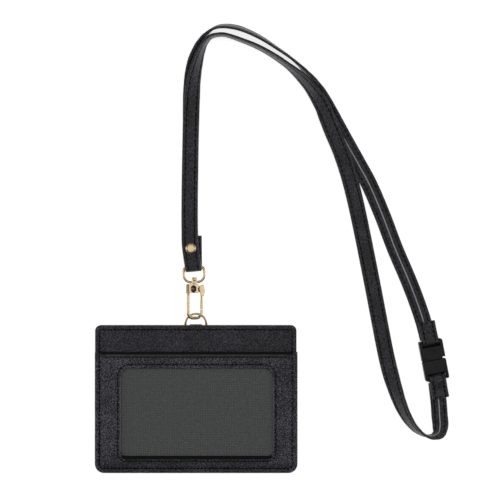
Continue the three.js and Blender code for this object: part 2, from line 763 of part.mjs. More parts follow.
function strapTail() {
  const turn = THREE.MathUtils.degToRad(STRAP_RING_TURN)
  const inner = STRAP_RING_WIRE / 2 + GAP
  const strip = foldedStrip(STRAP_W, STRAP_T, inner, 0.05, TAIL_LENGTH)
  strip.rotateZ(THREE.MathUtils.degToRad(TAIL_TURN))
  const x = SWIVEL_X - STRAP_RING_H * Math.sin(turn)
  const y = COLLAR_MID_Y + STRAP_RING_H * Math.cos(turn)
  strip.translate(x, y, SWIVEL_Z)
  return piece('strap_tail', cut(strip, rivetHole()), 'strap')
}

const STRAP_STACK_LOW = SWIVEL_Z - STRAP_RING_WIRE / 2 - GAP - STRAP_T
const STRAP_STACK_HIGH = SWIVEL_Z + STRAP_RING_WIRE / 2 + GAP + STRAP_T

function rivetCap() {
  const low = STRAP_STACK_HIGH + GAP
  const profile = [[0, STRAP_STACK_LOW - 0.1], [RIVET_SHANK_R, STRAP_STACK_LOW - 0.1]]
  profile.push([RIVET_SHANK_R, low], [RIVET_CAP_R, low], [RIVET_CAP_R, low + 0.25])
  const domeSteps = 5
  for (let i = 1; i <= domeSteps; i++) {
    const a = (i / domeSteps) * (Math.PI / 2)
    profile.push([RIVET_CAP_R * Math.cos(a), low + 0.25 + (RIVET_CAP_H - 0.25) * Math.sin(a)])
  }
  profile[profile.length - 1][0] = 0
  const points = profile.map(([r, h]) => new THREE.Vector2(r, h))
  const cap = piece('rivet_cap', new THREE.LatheGeometry(points, 24).rotateX(Math.PI / 2), 'gold')
  cap.position.set(RIVET_X, RIVET_Y, 0)
  return cap
}

function rivetBack() {
  const back = piece('rivet_back', rod(RIVET_CAP_R, 0, RIVET_BACK_T, 24), 'gold')
  back.position.set(RIVET_X, RIVET_Y, 0)
  return back
}

// ---------------------------------------------------------------- clasp
// Built upright with the seam between the halves at y = 0 and the socket above it.
const CLASP_LOW = 0.1
const CLASP_MID = CLASP_LOW + CLASP_H / 2

// One half from the seam (y = 0) to its slotted end: a body with two ears and a cross bar.
function claspHalf() {
  const w = CLASP_W / 2
  const outline = roundedPath(-w, w, GAP / 2, CLASP_HALF_L, [0.3, 0.3, 1, 1], 4)
  const body = plate(new THREE.Shape(outline), CLASP_LOW, CLASP_LOW + CLASP_H)
  const slotHalf = LOOP_W / 2 + GAP
  const slot = box(-slotHalf, slotHalf, CLASP_HALF_L - CLASP_SLOT_L, CLASP_HALF_L + 1, -1, 9)
  const bar = new THREE.CylinderGeometry(CLASP_BAR_R, CLASP_BAR_R, CLASP_W - 1, 12)
  bar.rotateZ(Math.PI / 2).translate(0, CLASP_HALF_L - CLASP_BAR_INSET, CLASP_MID)
  return join(cut(body, slot), bar)
}

function claspSocket() {
  const half = TONGUE_W / 2 + GAP
  const rise = TONGUE_T / 2 + GAP
  const mouth = box(-half, half, -1, TONGUE_L + 0.6, CLASP_MID - rise, CLASP_MID + rise)
  const notch = box(CLASP_W / 2 - 1.6, CLASP_W / 2 + 1, -1, 1.1, -1, 9)
  const top = CLASP_LOW + CLASP_H
  const dimple = rod(DIMPLE_R, top - 0.4, top + 1, 20).translate(0, 4.2, 0)
  return piece('clasp_socket', cut(claspHalf(), mouth, notch, dimple), 'clasp')
}

function claspPlug() {
  const half = TONGUE_W / 2
  const body = claspHalf().rotateZ(Math.PI)
  const tongue = box(-half, half, -2, TONGUE_L, CLASP_MID - TONGUE_T / 2, CLASP_MID + TONGUE_T / 2)
  return piece('clasp_plug', join(body, tongue), 'clasp')
}

// The strap's sewn end loop: a short front leg, round the bar, to the end of the strap below it.
function claspLoop(name, end) {
  const inner = CLASP_BAR_R + GAP
  const drop = inner + CLASP_MID - STRAP_T - 2 * GAP
  const strip = foldedStrip(LOOP_W, STRAP_T, inner, LOOP_LENGTH, 0.05, drop)
  if (end < 0) strip.rotateZ(Math.PI)
  strip.translate(0, end * (CLASP_HALF_L - CLASP_BAR_INSET), CLASP_MID)
  return piece(name, strip, 'strap')
}

function clasp() {
  const group = new THREE.Group()
  group.add(claspSocket(), claspPlug())
  group.add(claspLoop('socket_strap_loop', 1), claspLoop('plug_strap_loop', -1))
  group.position.set(CLASP_X, CLASP_Y, 0)
  group.rotation.z = THREE.MathUtils.degToRad(CLASP_TURN)
  return group
}

// ---------------------------------------------------------------- the whole object
const holder = new THREE.Group()
holder.add(backPanel(), edgeBand(), paddingBoard(), ringTab(), frontPanel(), pocketLining())
holder.add(windowFilm(), windowPanel(), pocketHem(), perimeterThread(), windowThread(), hemThread())

const lanyard = new THREE.Group()
lanyard.add(frontStrap(), rearStrap(), strapTail(), rivetCap(), rivetBack(), clasp())

const badgeHolder = new THREE.Group()
badgeHolder.add(holder, holderRing(), hook(), strapRing(), lanyard)

export default badgeHolder
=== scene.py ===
"""Looks of a leather badge holder on a folded strap lanyard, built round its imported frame.

Metres, in the frame's own axes: the holder lies on its back at z = 0, +X across the card and
+Y towards the strap. Sizes are written in millimetres and turned to metres by MM.
"""
import bisect
import math

import bmesh
import bpy
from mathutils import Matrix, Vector


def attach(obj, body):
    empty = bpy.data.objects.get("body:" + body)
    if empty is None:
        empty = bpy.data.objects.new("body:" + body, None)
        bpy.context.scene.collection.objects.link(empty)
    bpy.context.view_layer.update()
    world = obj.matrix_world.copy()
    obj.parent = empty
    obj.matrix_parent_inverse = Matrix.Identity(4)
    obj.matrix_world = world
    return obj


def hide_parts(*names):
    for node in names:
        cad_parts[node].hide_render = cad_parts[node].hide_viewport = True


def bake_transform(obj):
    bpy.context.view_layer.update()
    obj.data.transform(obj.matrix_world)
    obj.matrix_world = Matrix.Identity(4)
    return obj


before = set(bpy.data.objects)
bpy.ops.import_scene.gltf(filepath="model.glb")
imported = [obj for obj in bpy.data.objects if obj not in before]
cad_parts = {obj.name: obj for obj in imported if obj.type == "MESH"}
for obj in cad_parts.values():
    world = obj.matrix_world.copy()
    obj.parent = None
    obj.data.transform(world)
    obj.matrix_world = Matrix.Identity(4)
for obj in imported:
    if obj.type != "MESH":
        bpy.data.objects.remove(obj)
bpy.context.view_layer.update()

MM = 0.001
UP = Vector((0, 0, 1))

# ------------------------------------------------------------------ camera, floor and light
VIEW_CENTRE = (29.6, 81.35)
CAMERA_HEIGHT = 762.3
CAMERA_LENS = 100
SENSOR_WIDTH = 36
SKY = 0.12
SOFTBOXES = (  # name, place, width and depth in metres, power in watts
    ("top_softbox", (0.03, 0.12, 1.2), 1.0, 1.0, 2.7),
    ("back_softbox", (0.03, 1.0, 0.7), 1.2, 0.4, 0.6),
    ("left_softbox", (-1.0, 0.1, 0.55), 0.5, 1.2, 1.9),
    ("right_softbox", (1.0, 0.1, 0.55), 0.5, 1.2, 1.9),
)


def add_camera():
    camera = bpy.data.objects.new("camera", bpy.data.cameras.new("camera"))
    camera.data.lens = CAMERA_LENS
    camera.data.sensor_width = SENSOR_WIDTH
    camera.location = (VIEW_CENTRE[0] * MM, VIEW_CENTRE[1] * MM, CAMERA_HEIGHT * MM)
    bpy.context.collection.objects.link(camera)
    bpy.context.scene.camera = camera


def add_softbox(name, place, width, depth, power):
    """A rectangular softbox that faces the middle of the object."""
    lamp = bpy.data.lights.new(name, "AREA")
    lamp.shape = "RECTANGLE"
    lamp.size, lamp.size_y = width, depth
    lamp.energy = power
    box = bpy.data.objects.new(name, lamp)
    box.location = place
    box.visible_camera = False
    aim = Vector((VIEW_CENTRE[0] * MM, VIEW_CENTRE[1] * MM, 0)) - box.location
    box.rotation_euler = aim.to_track_quat("-Z", "Y").to_euler()
    bpy.context.collection.objects.link(box)


# ------------------------------------------------------------------ straps: the two free cords
STRAP_W = 9.0
STRAP_T = 1.5

# Centre x, y, z in millimetres and the roll in degrees about the direction of travel.
FRONT_STRAP_ROUTE = (
    (-1.6, 73, 5.05, 0),
    (-3.1, 84, 5.05, 0),
    (-3.3, 92, 4.7, 0),
    (-3.4, 100, 3.6, 0),
    (-3.4, 110, 2.7, 0),
    (-3.2, 125, 2.65, 0),
    (-2.6, 152, 3.2, -4),
    (-2.1, 163, 4.2, -17),
    (-1.1, 174, 5.1, -35),
    (0.7, 182.7, 5.3, -52),
    (3, 190.3, 4.9, -68),
    (5.4, 194.9, 4.75, -81),
    (8.4, 197.8, 4.7, -88),
    (11.8, 198.7, 4.7, -90),
    (15.5, 198.8, 4.7, -90),
    (24.5, 196, 4.7, -88),
    (36, 191.1, 4.7, -85),
    (49, 182.8, 5, -80),
    (60.3, 172.6, 5.3, -56),
    (68.6, 160.8, 4.8, -26),
    (71.6, 153.8, 3.9, -10),
    (74.4, 146.8, 2.9, 0),
    (79.4, 134.9, 2.65, 0),
    (83.7, 121.8, 2.65, 0),
    (87.2, 108.4, 1.9, 0),
    (91, 91.2, 0.9, 0),
    (97.2, 60, 0.95, 0),
    (103.8, 25.7, 1.05, -1),
    (106.2, 15, 1.9, -12),
    (108.8, 5.8, 3.1, -30),
    (111.4, -2, 3.9, -43),
    (114.8, -9.4, 4.45, -55),
    (119.2, -15.6, 4.75, -68),
    (124.6, -19.7, 4.9, -82),
    (129.4, -20.6, 4.7, -98),
    (132.9, -18.6, 4.1, -128),
    (133.8, -14.5, 2.5, -158),
    (133.5, -9.5, 1.2, -176),
    (133.1, -3, 0.85, -180),
    (131.8, 8.6, 0.85, -180),
)
REAR_STRAP_ROUTE = (
    (-2.1, 75.4, 3.25, 0),
    (-2.9, 82, 3.25, 0),
    (-3.3, 92, 2.85, 0),
    (-3.4, 100, 1.8, 0),
    (-3.4, 110, 0.9, 0),
    (-3.2, 125, 0.85, 0),
    (-3, 140, 0.85, 0),
    (-2.8, 152, 1.2, -4),
    (-2.8, 163, 2.2, -17),
    (-2.6, 174.1, 3.4, -35),
    (-1.6, 183.4, 4.2, -52),
    (0.9, 191.4, 4.4, -68),
    (3.7, 196.5, 4.7, -80),
    (7.1, 200.3, 4.75, -93),
    (10.5, 202.6, 4.7, -102),
    (14.3, 203.5, 4.65, -107),
    (19.4, 203.3, 4.6, -110),
    (24, 202.3, 4.6, -110),
    (29.9, 200, 4.6, -108),
    (36.8, 196.4, 4.65, -105),
    (44.1, 191.6, 4.7, -101),
    (50.4, 187.3, 4.7, -99),
    (55.8, 182.8, 4.7, -94),
    (60.4, 178, 4.7, -83),
    (64.4, 172.8, 4.4, -66),
    (68.2, 166.6, 3.6, -46),
    (71.5, 160.2, 2.7, -28),
    (74.6, 154.2, 1.85, -12),
    (78.4, 147.4, 0.95, -1),
    (83.6, 138, 0.85, 0),
    (88.4, 129.4, 0.85, 0),
    (94.9, 117.4, 0.85, 0),
    (102.3, 100.1, 0.85, 0),
    (109, 82.4, 0.85, 0),
    (116.4, 65, 0.85, 0),
    (121.4, 52, 0.85, 0),
    (125, 41, 0.85, 0),
    (127.1, 32.8, 0.85, 0),
)


# ------------------------------------------------------------------ shader building
def colour(code):
    """Linear RGBA of an sRGB hex colour."""
    channels = [int(code[i:i + 2], 16) / 255 for i in (1, 3, 5)]
    linear = [c / 12.92 if c <= 0.04045 else ((c + 0.055) / 1.055) ** 2.4 for c in channels]
    return (*linear, 1.0)


def add(tree, kind, settings=(), **inputs):
    """Adds a node. settings are its own properties; an input is a value or a socket to link."""
    node = tree.nodes.new(kind)
    for key, value in dict(settings).items():
        setattr(node, key, value)
    for key, value in inputs.items():
        socket = node.inputs[int(key[1:])] if key[1:].isdigit() else node.inputs[key.replace("_", " ")]
        if isinstance(value, bpy.types.NodeSocket):
            tree.links.new(value, socket)
        else:
            socket.default_value = value
    return node


def blank_material(name, **constants):
    """A material with a Principled surface whose constants are set on its own sockets."""
    material = bpy.data.materials.new(name)
    material.use_nodes = True
    tree = material.node_tree
    tree.nodes.clear()
    surface = add(tree, "ShaderNodeBsdfPrincipled", **constants)
    output = add(tree, "ShaderNodeOutputMaterial")
    tree.links.new(surface.outputs[0], output.inputs["Surface"])
    return material, tree, surface


def blend_colours(tree, factor, low, high):
    """Colour that goes from low to high with the factor."""
    ramp = add(tree, "ShaderNodeValToRGB", s0=factor)
    ramp.color_ramp.elements[0].color = colour(low)
    ramp.color_ramp.elements[1].color = colour(high)
    return ramp


def grain_material(name, base, lit_crest, pebble, height, roughness, specular):
    """Coated leather: rounded pebbles parted by creases, with a finer skin texture on top. Its colour
    follows the relief, with painted shade in the creases and painted highlight on the crests, over random
    broad patches.
    """
    material, tree, surface = blank_material(name, IOR=1.46, Specular_IOR_Level=specular)
    place = add(tree, "ShaderNodeTexCoord").outputs["Object"]
    warp = add(tree, "ShaderNodeTexNoise", Vector=place, Scale=0.35 / (pebble * MM), Detail=2.0)
    shifted = add(tree, "ShaderNodeVectorMath", {"operation": "MULTIPLY_ADD"}, s0=warp.outputs["Color"])
    shifted.inputs[1].default_value = (pebble * MM * 0.9,) * 3
    tree.links.new(place, shifted.inputs[2])
    pebbles = add(tree, "ShaderNodeTexVoronoi", {"feature": "SMOOTH_F1"},
                  Vector=shifted.outputs[0], Scale=1 / (pebble * MM), Smoothness=0.35)
    skin = add(tree, "ShaderNodeTexNoise", Vector=place, Scale=1.5 / (pebble * MM), Detail=3.0)
    broad = add(tree, "ShaderNodeTexNoise", Vector=place, Scale=0.09 / MM, Detail=3.0)
    patches = add(tree, "ShaderNodeMapRange", s0=broad.outputs["Fac"], s3=0.35, s4=0.65)
    relief = add(tree, "ShaderNodeMath", {"operation": "MULTIPLY_ADD"}, s0=pebbles.outputs["Distance"])
    relief.inputs[1].default_value = -1.0
    tree.links.new(skin.outputs["Fac"], relief.inputs[2])
    # Painted light: the relief darkens the creases as painted shade and lightens the crests as painted
    # highlight; the broad patches are random tone.
    crest_light_and_patches = add(tree, "ShaderNodeMath", {"operation": "MULTIPLY_ADD"}, s0=relief.outputs[0])
    crest_light_and_patches.inputs[1].default_value = 0.9
    tree.links.new(patches.outputs[0], crest_light_and_patches.inputs[2])
    centred = add(tree, "ShaderNodeMapRange", s0=crest_light_and_patches.outputs[0], s1=0.46, s2=0.84)
    tones = blend_colours(tree, centred.outputs[0], base, lit_crest)
    tree.links.new(tones.outputs[0], surface.inputs["Base Color"])
    polish = add(tree, "ShaderNodeMapRange", s0=relief.outputs[0], s1=-0.6, s2=0.6,
                 s3=roughness + 0.16, s4=roughness - 0.08)
    tree.links.new(polish.outputs[0], surface.inputs["Roughness"])
    bump = add(tree, "ShaderNodeBump", Strength=1.0, Distance=height * MM, Height=relief.outputs[0])
    tree.links.new(bump.outputs[0], surface.inputs["Normal"])
    return material


def cloth_material(name, base, high, pitch, height):
    """Plain-woven cloth: threads that cross, each pitch wide."""
    material, tree, surface = blank_material(name, Roughness=0.85, Specular_IOR_Level=0.25)
    place = add(tree, "ShaderNodeTexCoord").outputs["Object"]
    waves = [
        add(tree, "ShaderNodeTexWave", {"bands_direction": axis}, Vector=place,
            Scale=0.314 / (pitch * MM), Distortion=3.0, Detail=2.0).outputs["Fac"]
        for axis in ("X", "Y")
    ]
    weave = add(tree, "ShaderNodeMath", {"operation": "MAXIMUM"}, s0=waves[0], s1=waves[1])
    slub = add(tree, "ShaderNodeTexNoise", Vector=place, Scale=0.9 / (pitch * MM), Detail=2.0)
    mixed = add(tree, "ShaderNodeMath", {"operation": "MULTIPLY"}, s0=weave.outputs[0],
                s1=slub.outputs["Fac"])
    tones = blend_colours(tree, mixed.outputs[0], base, high)
    tree.links.new(tones.outputs[0], surface.inputs["Base Color"])
    bump = add(tree, "ShaderNodeBump", Strength=1.0, Distance=height * MM, Height=mixed.outputs[0])
    tree.links.new(bump.outputs[0], surface.inputs["Normal"])
    return material


def metal_material(name, base, worn, roughness, streak):
    """Cast metal with a polished plate: soft casting ripples and fine rubbing marks."""
    material, tree, surface = blank_material(name, Metallic=1.0)
    place = add(tree, "ShaderNodeTexCoord").outputs["Object"]
    cast = add(tree, "ShaderNodeTexNoise", Vector=place, Scale=0.7 / MM, Detail=3.0)
    rubbed = add(tree, "ShaderNodeTexNoise", Vector=place, Scale=streak / MM, Detail=4.0)
    tones = blend_colours(tree, cast.outputs["Fac"], base, worn)
    tree.links.new(tones.outputs[0], surface.inputs["Base Color"])
    polish = add(tree, "ShaderNodeMapRange", s0=rubbed.outputs["Fac"], s1=0.3, s2=0.7,
                 s3=roughness - 0.05, s4=roughness + 0.08)
    tree.links.new(polish.outputs[0], surface.inputs["Roughness"])
    bump = add(tree, "ShaderNodeBump", Strength=0.5, Distance=0.02 * MM, Height=cast.outputs["Fac"])
    tree.links.new(bump.outputs[0], surface.inputs["Normal"])
    return material


def speckled_material(name, base, high, grit, height, **constants):
    """Moulded, painted or pressed surface with an even fine grit."""
    material, tree, surface = blank_material(name, **constants)
    place = add(tree, "ShaderNodeTexCoord").outputs["Object"]
    speckle = add(tree, "ShaderNodeTexNoise", Vector=place, Scale=1 / (grit * MM), Detail=3.0)
    tones = blend_colours(tree, speckle.outputs["Fac"], base, high)
    tree.links.new(tones.outputs[0], surface.inputs["Base Color"])
    bump = add(tree, "ShaderNodeBump", Strength=1.0, Distance=height * MM, Height=speckle.outputs["Fac"])
    tree.links.new(bump.outputs[0], surface.inputs["Normal"])
    return material


# Pebble-embossed polyurethane leather: the crests are coloured lighter as painted highlight and the
# creases darker as painted shade.
pocket_leather = grain_material("embossed_pu_leather", "#121215", "#6c6b77", 0.62, 0.35, 0.3, 0.55)
# The same leather over the pocket's padding with a slightly coarser grain, coloured as a lighter copy
# with a brighter violet crest: painted light where the puffed panel catches the lamps.
lit_padded_leather = grain_material("pu_leather_lit_copy", "#15151a", "#8e8c9e", 0.66, 0.4, 0.28, 0.6)
# The mouth's turned hem, ironed smooth under the folding foot: little grain, even satin, coloured lighter
# as a painted highlight where the rounded hem catches the light.
hem_leather_highlight = grain_material("hem_leather_painted_highlight", "#343437", "#515155", 0.8, 0.12, 0.34, 0.5)
# The same coated leather rolled smoother for the straps: a closer grain and an even satin.
strap_leather = grain_material("rolled_pu_strap_leather", "#131316", "#62616c", 0.62, 0.3, 0.28, 0.6)
# Where two turned edges meet, the pale knitted backing of the leather just shows.
seam_backing = cloth_material("knitted_leather_backing", "#a0a0a2", "#e6e6e7", 0.3, 0.04)
# Painted highlight: a paler grey line on the window's left and right edges, standing in for the light
# those edges catch.
window_edge_highlight = speckled_material("window_edge_painted_highlight", "#3a3a3f", "#77767e", 0.4, 0.03, Roughness=0.4)
# Flat black on the pocket's mouth and the window's lower lip: edge paint on the mouth, which also stands
# in for the shadow in the gap under it, and painted shade as a shadow line along the window's lower lip.
edge_paint_and_shade = speckled_material("black_edge_paint_and_shade", "#060607", "#0d0d0e", 0.3, 0.02, Roughness=0.7,
                               Specular_IOR_Level=0.2)
# Bonded polyester thread: deep black with a slight sheen on each twist.
thread = speckled_material("bonded_polyester_thread", "#050506", "#121214", 0.12, 0.05,
                           Roughness=0.8, Specular_IOR_Level=0.2)
# Brushed tricot behind the window: a flat, warm-free grey with a fine speckle.
lining = cloth_material("brushed_tricot_lining", "#101010", "#6a6a69", 1.3, 0.2)
# Soft clear vinyl: a faint haze and broad reflections.
window_vinyl = speckled_material("clear_soft_vinyl", "#8e9092", "#a4a6a8", 3.0, 0.02,
                                 Roughness=0.16, IOR=1.53, Alpha=0.16)
# Die-cast zinc with a pale gold flash plate, tumbled before plating so edges stay soft.
pale_gold = metal_material("pale_gold_plated_zinc", "#cbb088", "#ead6b6", 0.2, 2.6)
# Painted shade on the casting: a darker brown gold with a duller finish on its hollow, flank and
# underside, standing in for the shade those faces are in.
shaded_gold = metal_material("gold_painted_shade", "#33281c", "#7d6a50", 0.42, 2.6)
# Moulded acetal with a fine spark-eroded texture: near black and matt.
clasp_acetal = speckled_material("moulded_acetal", "#101011", "#19191a", 0.25, 0.02,
                                 Roughness=0.5, IOR=1.48, Specular_IOR_Level=0.35)
# Pressed fibre board inside the rim, seen only between the leathers.
fibre_board = speckled_material("pressed_fibre_board", "#6e5f4c", "#9a8a74", 0.5, 0.05, Roughness=0.9)
# Drawn music wire: bright, finely scored along its length.
spring_wire = metal_material("drawn_spring_wire", "#8f8f92", "#b5b5b7", 0.32, 4.0)
# Opal acrylic light table: even white that glows a little and keeps shadows faint.
table_card = speckled_material("opal_light_table", "#f6f6f5", "#fbfbfa", 1.2, 0.01, Roughness=0.8,
                               Specular_IOR_Level=0.2, Emission_Color=(1, 1, 1, 1),
                               Emission_Strength=0.75)


# ------------------------------------------------------------------ mesh building
SHARP = math.radians(58)


def new_piece(name, points, faces, *materials, marked=()):
    """A smooth-shaded piece from points in millimetres. Each list in marked holds the faces
    that take the second material, the third and so on."""
    mesh = bpy.data.meshes.new(name)
    mesh.from_pydata([Vector(p) * MM for p in points], [], faces)
    for material in materials:
        mesh.materials.append(material)
    for index, group in enumerate(marked, 1):
        for face in group:
            mesh.polygons[face].material_index = index
    shell = bmesh.new()
    shell.from_mesh(mesh)
    bmesh.ops.recalc_face_normals(shell, faces=shell.faces)
    shell.to_mesh(mesh)
    shell.free()
    mesh.shade_smooth()
    mesh.set_sharp_from_angle(angle=SHARP)
    piece = bpy.data.objects.new(name, mesh)
    bpy.context.collection.objects.link(piece)
    return piece


def skin(rings, ring_closed=True, row_closed=False, capped=True):
    """Points and faces over a row of equal rings."""
    sides = len(rings[0])
    points = [p for ring in rings for p in ring]
    faces = []
    for i in range(len(rings) if row_closed else len(rings) - 1):
        a, b = i * sides, (i + 1) % len(rings) * sides
        for k in range(sides if ring_closed else sides - 1):
            m = (k + 1) % sides
            faces.append((a + k, a + m, b + m, b + k))
    if capped and not row_closed:
        faces.append(tuple(range(sides - 1, -1, -1)))
        faces.append(tuple(range(len(points) - sides, len(points))))
    return points, faces


def rounded_path(x0, x1, y0, y1, radii, corner_steps, side_step):
    """Rounded rectangle, radii anticlockwise from the lower left. Sides are cut by side_step."""
    corners = ((x0, y0, 1, 1, math.pi), (x1, y0, -1, 1, 1.5 * math.pi),
               (x1, y1, -1, -1, 0), (x0, y1, 1, -1, 0.5 * math.pi))
    arcs = []
    for (x, y, sx, sy, start), r in zip(corners, radii):
        centre = Vector((x + sx * r, y + sy * r, 0))
        turns = [start + math.pi / 2 * i / corner_steps for i in range(corner_steps + 1)]
        arcs.append([centre + Vector((math.cos(a), math.sin(a), 0)) * r for a in turns])
    path = []
    counts = (side_step[0], side_step[1], side_step[0], side_step[1])
    for arc, following, count in zip(arcs, arcs[1:] + arcs[:1], counts):
        path += arc + [arc[-1].lerp(following[0], (i + 1) / count) for i in range(count - 1)]
    return path


def running_length(path):
    """Distance along a closed path at each of its points, with the whole length last."""
    total, marks = 0.0, [0.0]
    for a, b in zip(path, path[1:] + path[:1]):
        total += (b - a).length
        marks.append(total)
    return marks


def smooth_step(value, low, high):
    t = min(max((value - low) / (high - low), 0.0), 1.0)
    return t * t * (3 - 2 * t)


# ------------------------------------------------------------------ stitches
def stitch_tree():
    """Geometry Nodes: one short thread for each pitch along every line it is given."""
    tree = bpy.data.node_groups.new("running_stitch", "GeometryNodeTree")
    face = tree.interface
    face.new_socket("Geometry", in_out="INPUT", socket_type="NodeSocketGeometry")
    for name in ("Pitch", "Stitch Length", "Thread Width"):
        face.new_socket(name, in_out="INPUT", socket_type="NodeSocketFloat")
    face.new_socket("Thread", in_out="INPUT", socket_type="NodeSocketMaterial")
    face.new_socket("Geometry", in_out="OUTPUT", socket_type="NodeSocketGeometry")
    given = tree.nodes.new("NodeGroupInput").outputs
    lines = add(tree, "GeometryNodeMeshToCurve", Mesh=given["Geometry"])
    spots = add(tree, "GeometryNodeCurveToPoints", {"mode": "LENGTH"}, Curve=lines.outputs[0],
                Length=given["Pitch"])
    bead = add(tree, "GeometryNodeMeshUVSphere", Segments=8, Rings=6, Radius=0.5)
    size = add(tree, "ShaderNodeCombineXYZ", X=given["Thread Width"], Y=given["Thread Width"],
               Z=given["Stitch Length"])
    shaped = add(tree, "GeometryNodeTransform", Geometry=bead.outputs["Mesh"], Scale=size.outputs[0])
    smooth = add(tree, "GeometryNodeSetShadeSmooth", Geometry=shaped.outputs[0])
    placed = add(tree, "GeometryNodeInstanceOnPoints", Points=spots.outputs["Points"],
                 Instance=smooth.outputs[0], Rotation=spots.outputs["Rotation"])
    real = add(tree, "GeometryNodeRealizeInstances", Geometry=placed.outputs[0])
    painted = add(tree, "GeometryNodeSetMaterial", Geometry=real.outputs[0], Material=given["Thread"])
    end = tree.nodes.new("NodeGroupOutput")
    tree.links.new(painted.outputs[0], end.inputs[0])
    return tree


STITCHES = stitch_tree()


def sew(name, lines, pitch, length, width):
    """One mesh of stitches along lines, each a list of points in millimetres and a closed flag."""
    points, edges = [], []
    for line, closed in lines:
        first = len(points)
        points += [Vector(p) * MM for p in line]
        edges += [(first + i, first + i + 1) for i in range(len(line) - 1)]
        if closed:
            edges.append((len(points) - 1, first))
    guide_mesh = bpy.data.meshes.new(name)
    guide_mesh.from_pydata(points, edges, [])
    guide = bpy.data.objects.new(name, guide_mesh)
    bpy.context.collection.objects.link(guide)
    modifier = guide.modifiers.new("stitches", "NODES")
    modifier.node_group = STITCHES
    wanted = {"Pitch": pitch * MM, "Stitch Length": length * MM, "Thread Width": width * MM,
              "Thread": thread}
    for item in STITCHES.interface.items_tree:
        if item.in_out == "INPUT" and item.name in wanted:
            modifier[item.identifier] = wanted[item.name]
    depsgraph = bpy.context.evaluated_depsgraph_get()
    sewn = bpy.data.meshes.new_from_object(guide.evaluated_get(depsgraph))
    guide.modifiers.clear()
    guide.data = sewn
    return guide


# ------------------------------------------------------------------ strap shapes
EDGE_STITCH = 1.9  # from a strap's edge to its stitch row
STRAP_PITCH = 2.9
STITCH_LENGTH = 2.3
STITCH_WIDTH = 0.55
ROW = STRAP_W / 2 - EDGE_STITCH


class Station:
    """A point on a strap's centre line with its direction, its width axis and its face axis."""

    def __init__(self, at, travel, wide):
        self.at = at
        self.travel = travel.normalized()
        self.wide = (wide - self.travel * wide.dot(self.travel)).normalized()
        self.face = self.wide.cross(self.travel)

    def point(self, across, out):
        return self.at + self.wide * across + self.face * out


def route_stations(route, count):
    """Stations evenly along a centripetal spline through the route, rolled as the route says."""
    knots = [Vector(r[:3]) for r in route]
    padded = [knots[0] * 2 - knots[1], *knots, knots[-1] * 2 - knots[-2]]
    spans = len(knots) - 1

    def at(value):
        k = min(int(value), spans - 1)
        u = value - k
        p0, p1, p2, p3 = padded[k:k + 4]
        d0, d1, d2 = ((b - a).length ** 0.5 for a, b in ((p0, p1), (p1, p2), (p2, p3)))
        t1 = ((p1 - p0) / d0 - (p2 - p0) / (d0 + d1) + (p2 - p1) / d1) * d1
        t2 = ((p2 - p1) / d1 - (p3 - p1) / (d1 + d2) + (p3 - p2) / d2) * d1
        square = (p2 - p1) * 3 - t1 * 2 - t2
        cube = (p1 - p2) * 2 + t1 + t2
        share = 0.5 * u * u * (3 - 2 * u) + 0.5 * u
        roll = math.radians(route[k][3] + (route[k + 1][3] - route[k][3]) * share)
        return p1 + t1 * u + square * u ** 2 + cube * u ** 3, t1 + square * 2 * u + cube * 3 * u * u, roll

    fine = [i / 40 for i in range(spans * 40 + 1)]
    places = [at(min(v, spans - 1e-9))[0] for v in fine]
    marks = [0.0]
    for a, b in zip(places, places[1:]):
        marks.append(marks[-1] + (b - a).length)
    stations = []
    for i in range(count + 1):
        goal = marks[-1] * i / count
        j = min(bisect.bisect_right(marks, goal), len(marks) - 1)
        part = (goal - marks[j - 1]) / (marks[j] - marks[j - 1])
        place, travel, roll = at(min(fine[j - 1] + (fine[j] - fine[j - 1]) * part, spans - 1e-9))
        right = travel.cross(UP).normalized()
        up = right.cross(travel.normalized())
        stations.append(Station(place, travel, right * math.cos(roll) + up * math.sin(roll)))
    return stations


def strap_section(width, thickness, seam):
    """Half outline of a strap: smooth face with two sewn grooves, back with turned edges."""
    a, b = width / 2, thickness / 2
    row = a - EDGE_STITCH
    side = [(a, 0.0), (a - 0.05, 0.3 * b), (a - 0.22, 0.66 * b), (a - 0.55, 0.9 * b),
            (a - 1.0, b), (row + 0.5, 0.98 * b), (row + 0.26, 0.72 * b), (row, 0.5 * b),
            (row - 0.26, 0.72 * b), (row - 0.5, 0.98 * b), (0.55 * row, b), (0.28 * row, b)]
    outer = side + [(0.0, b)] + [(-p, q) for p, q in reversed(side)]
    if seam:
        middle = [(-0.5, -0.99 * b), (-0.3, -0.9 * b), (0.0, -0.96 * b), (0.3, -0.9 * b),
                  (0.5, -0.99 * b)]
    else:
        middle = [(0.0, -b)]
    low = [(-p, -q) for p, q in side[1:-1]] + middle + [(p, -q) for p, q in reversed(side[1:-1])]
    return outer + low


def strap_piece(name, stations, width=STRAP_W, thickness=STRAP_T, seam=True, flip=1,
                butt=(False, False)):
    """Sweeps the strap's section along the stations, with a pale centre seam on its back.

    An end is rounded unless it butts against the next piece of strap.
    """
    section = strap_section(width, thickness, seam)
    rings = [[s.point(p, flip * q) for p, q in section] for s in stations]
    for place, station, way, square in ((0, stations[0], -1, butt[0]),
                                        (len(rings), stations[-1], 1, butt[1])):
        if not square:
            rounded = [station.point(p * 0.97, flip * q * 0.72) + station.travel * way * 0.22
                       for p, q in section]
            rings.insert(place if way < 0 else len(rings), rounded)
    points, faces = skin(rings)
    marked = []
    if seam:
        centre = min(range(len(section)), key=lambda k: (abs(section[k][0]), section[k][1]))
        for i in range(len(rings) - 1):
            marked += [i * len(section) + k for k in (centre - 1, centre)]
    return new_piece(name, points, faces, strap_leather, seam_backing, marked=(marked,))


def strap_rows(stations, row=ROW, thickness=STRAP_T, inset=4):
    """The four sewn lines of a strap, two on each face."""
    used = stations[inset:-inset]
    depth = thickness / 2 * 0.66
    return [([s.point(side * row, out * depth) for s in used], False)
            for side in (-1, 1) for out in (-1, 1)]


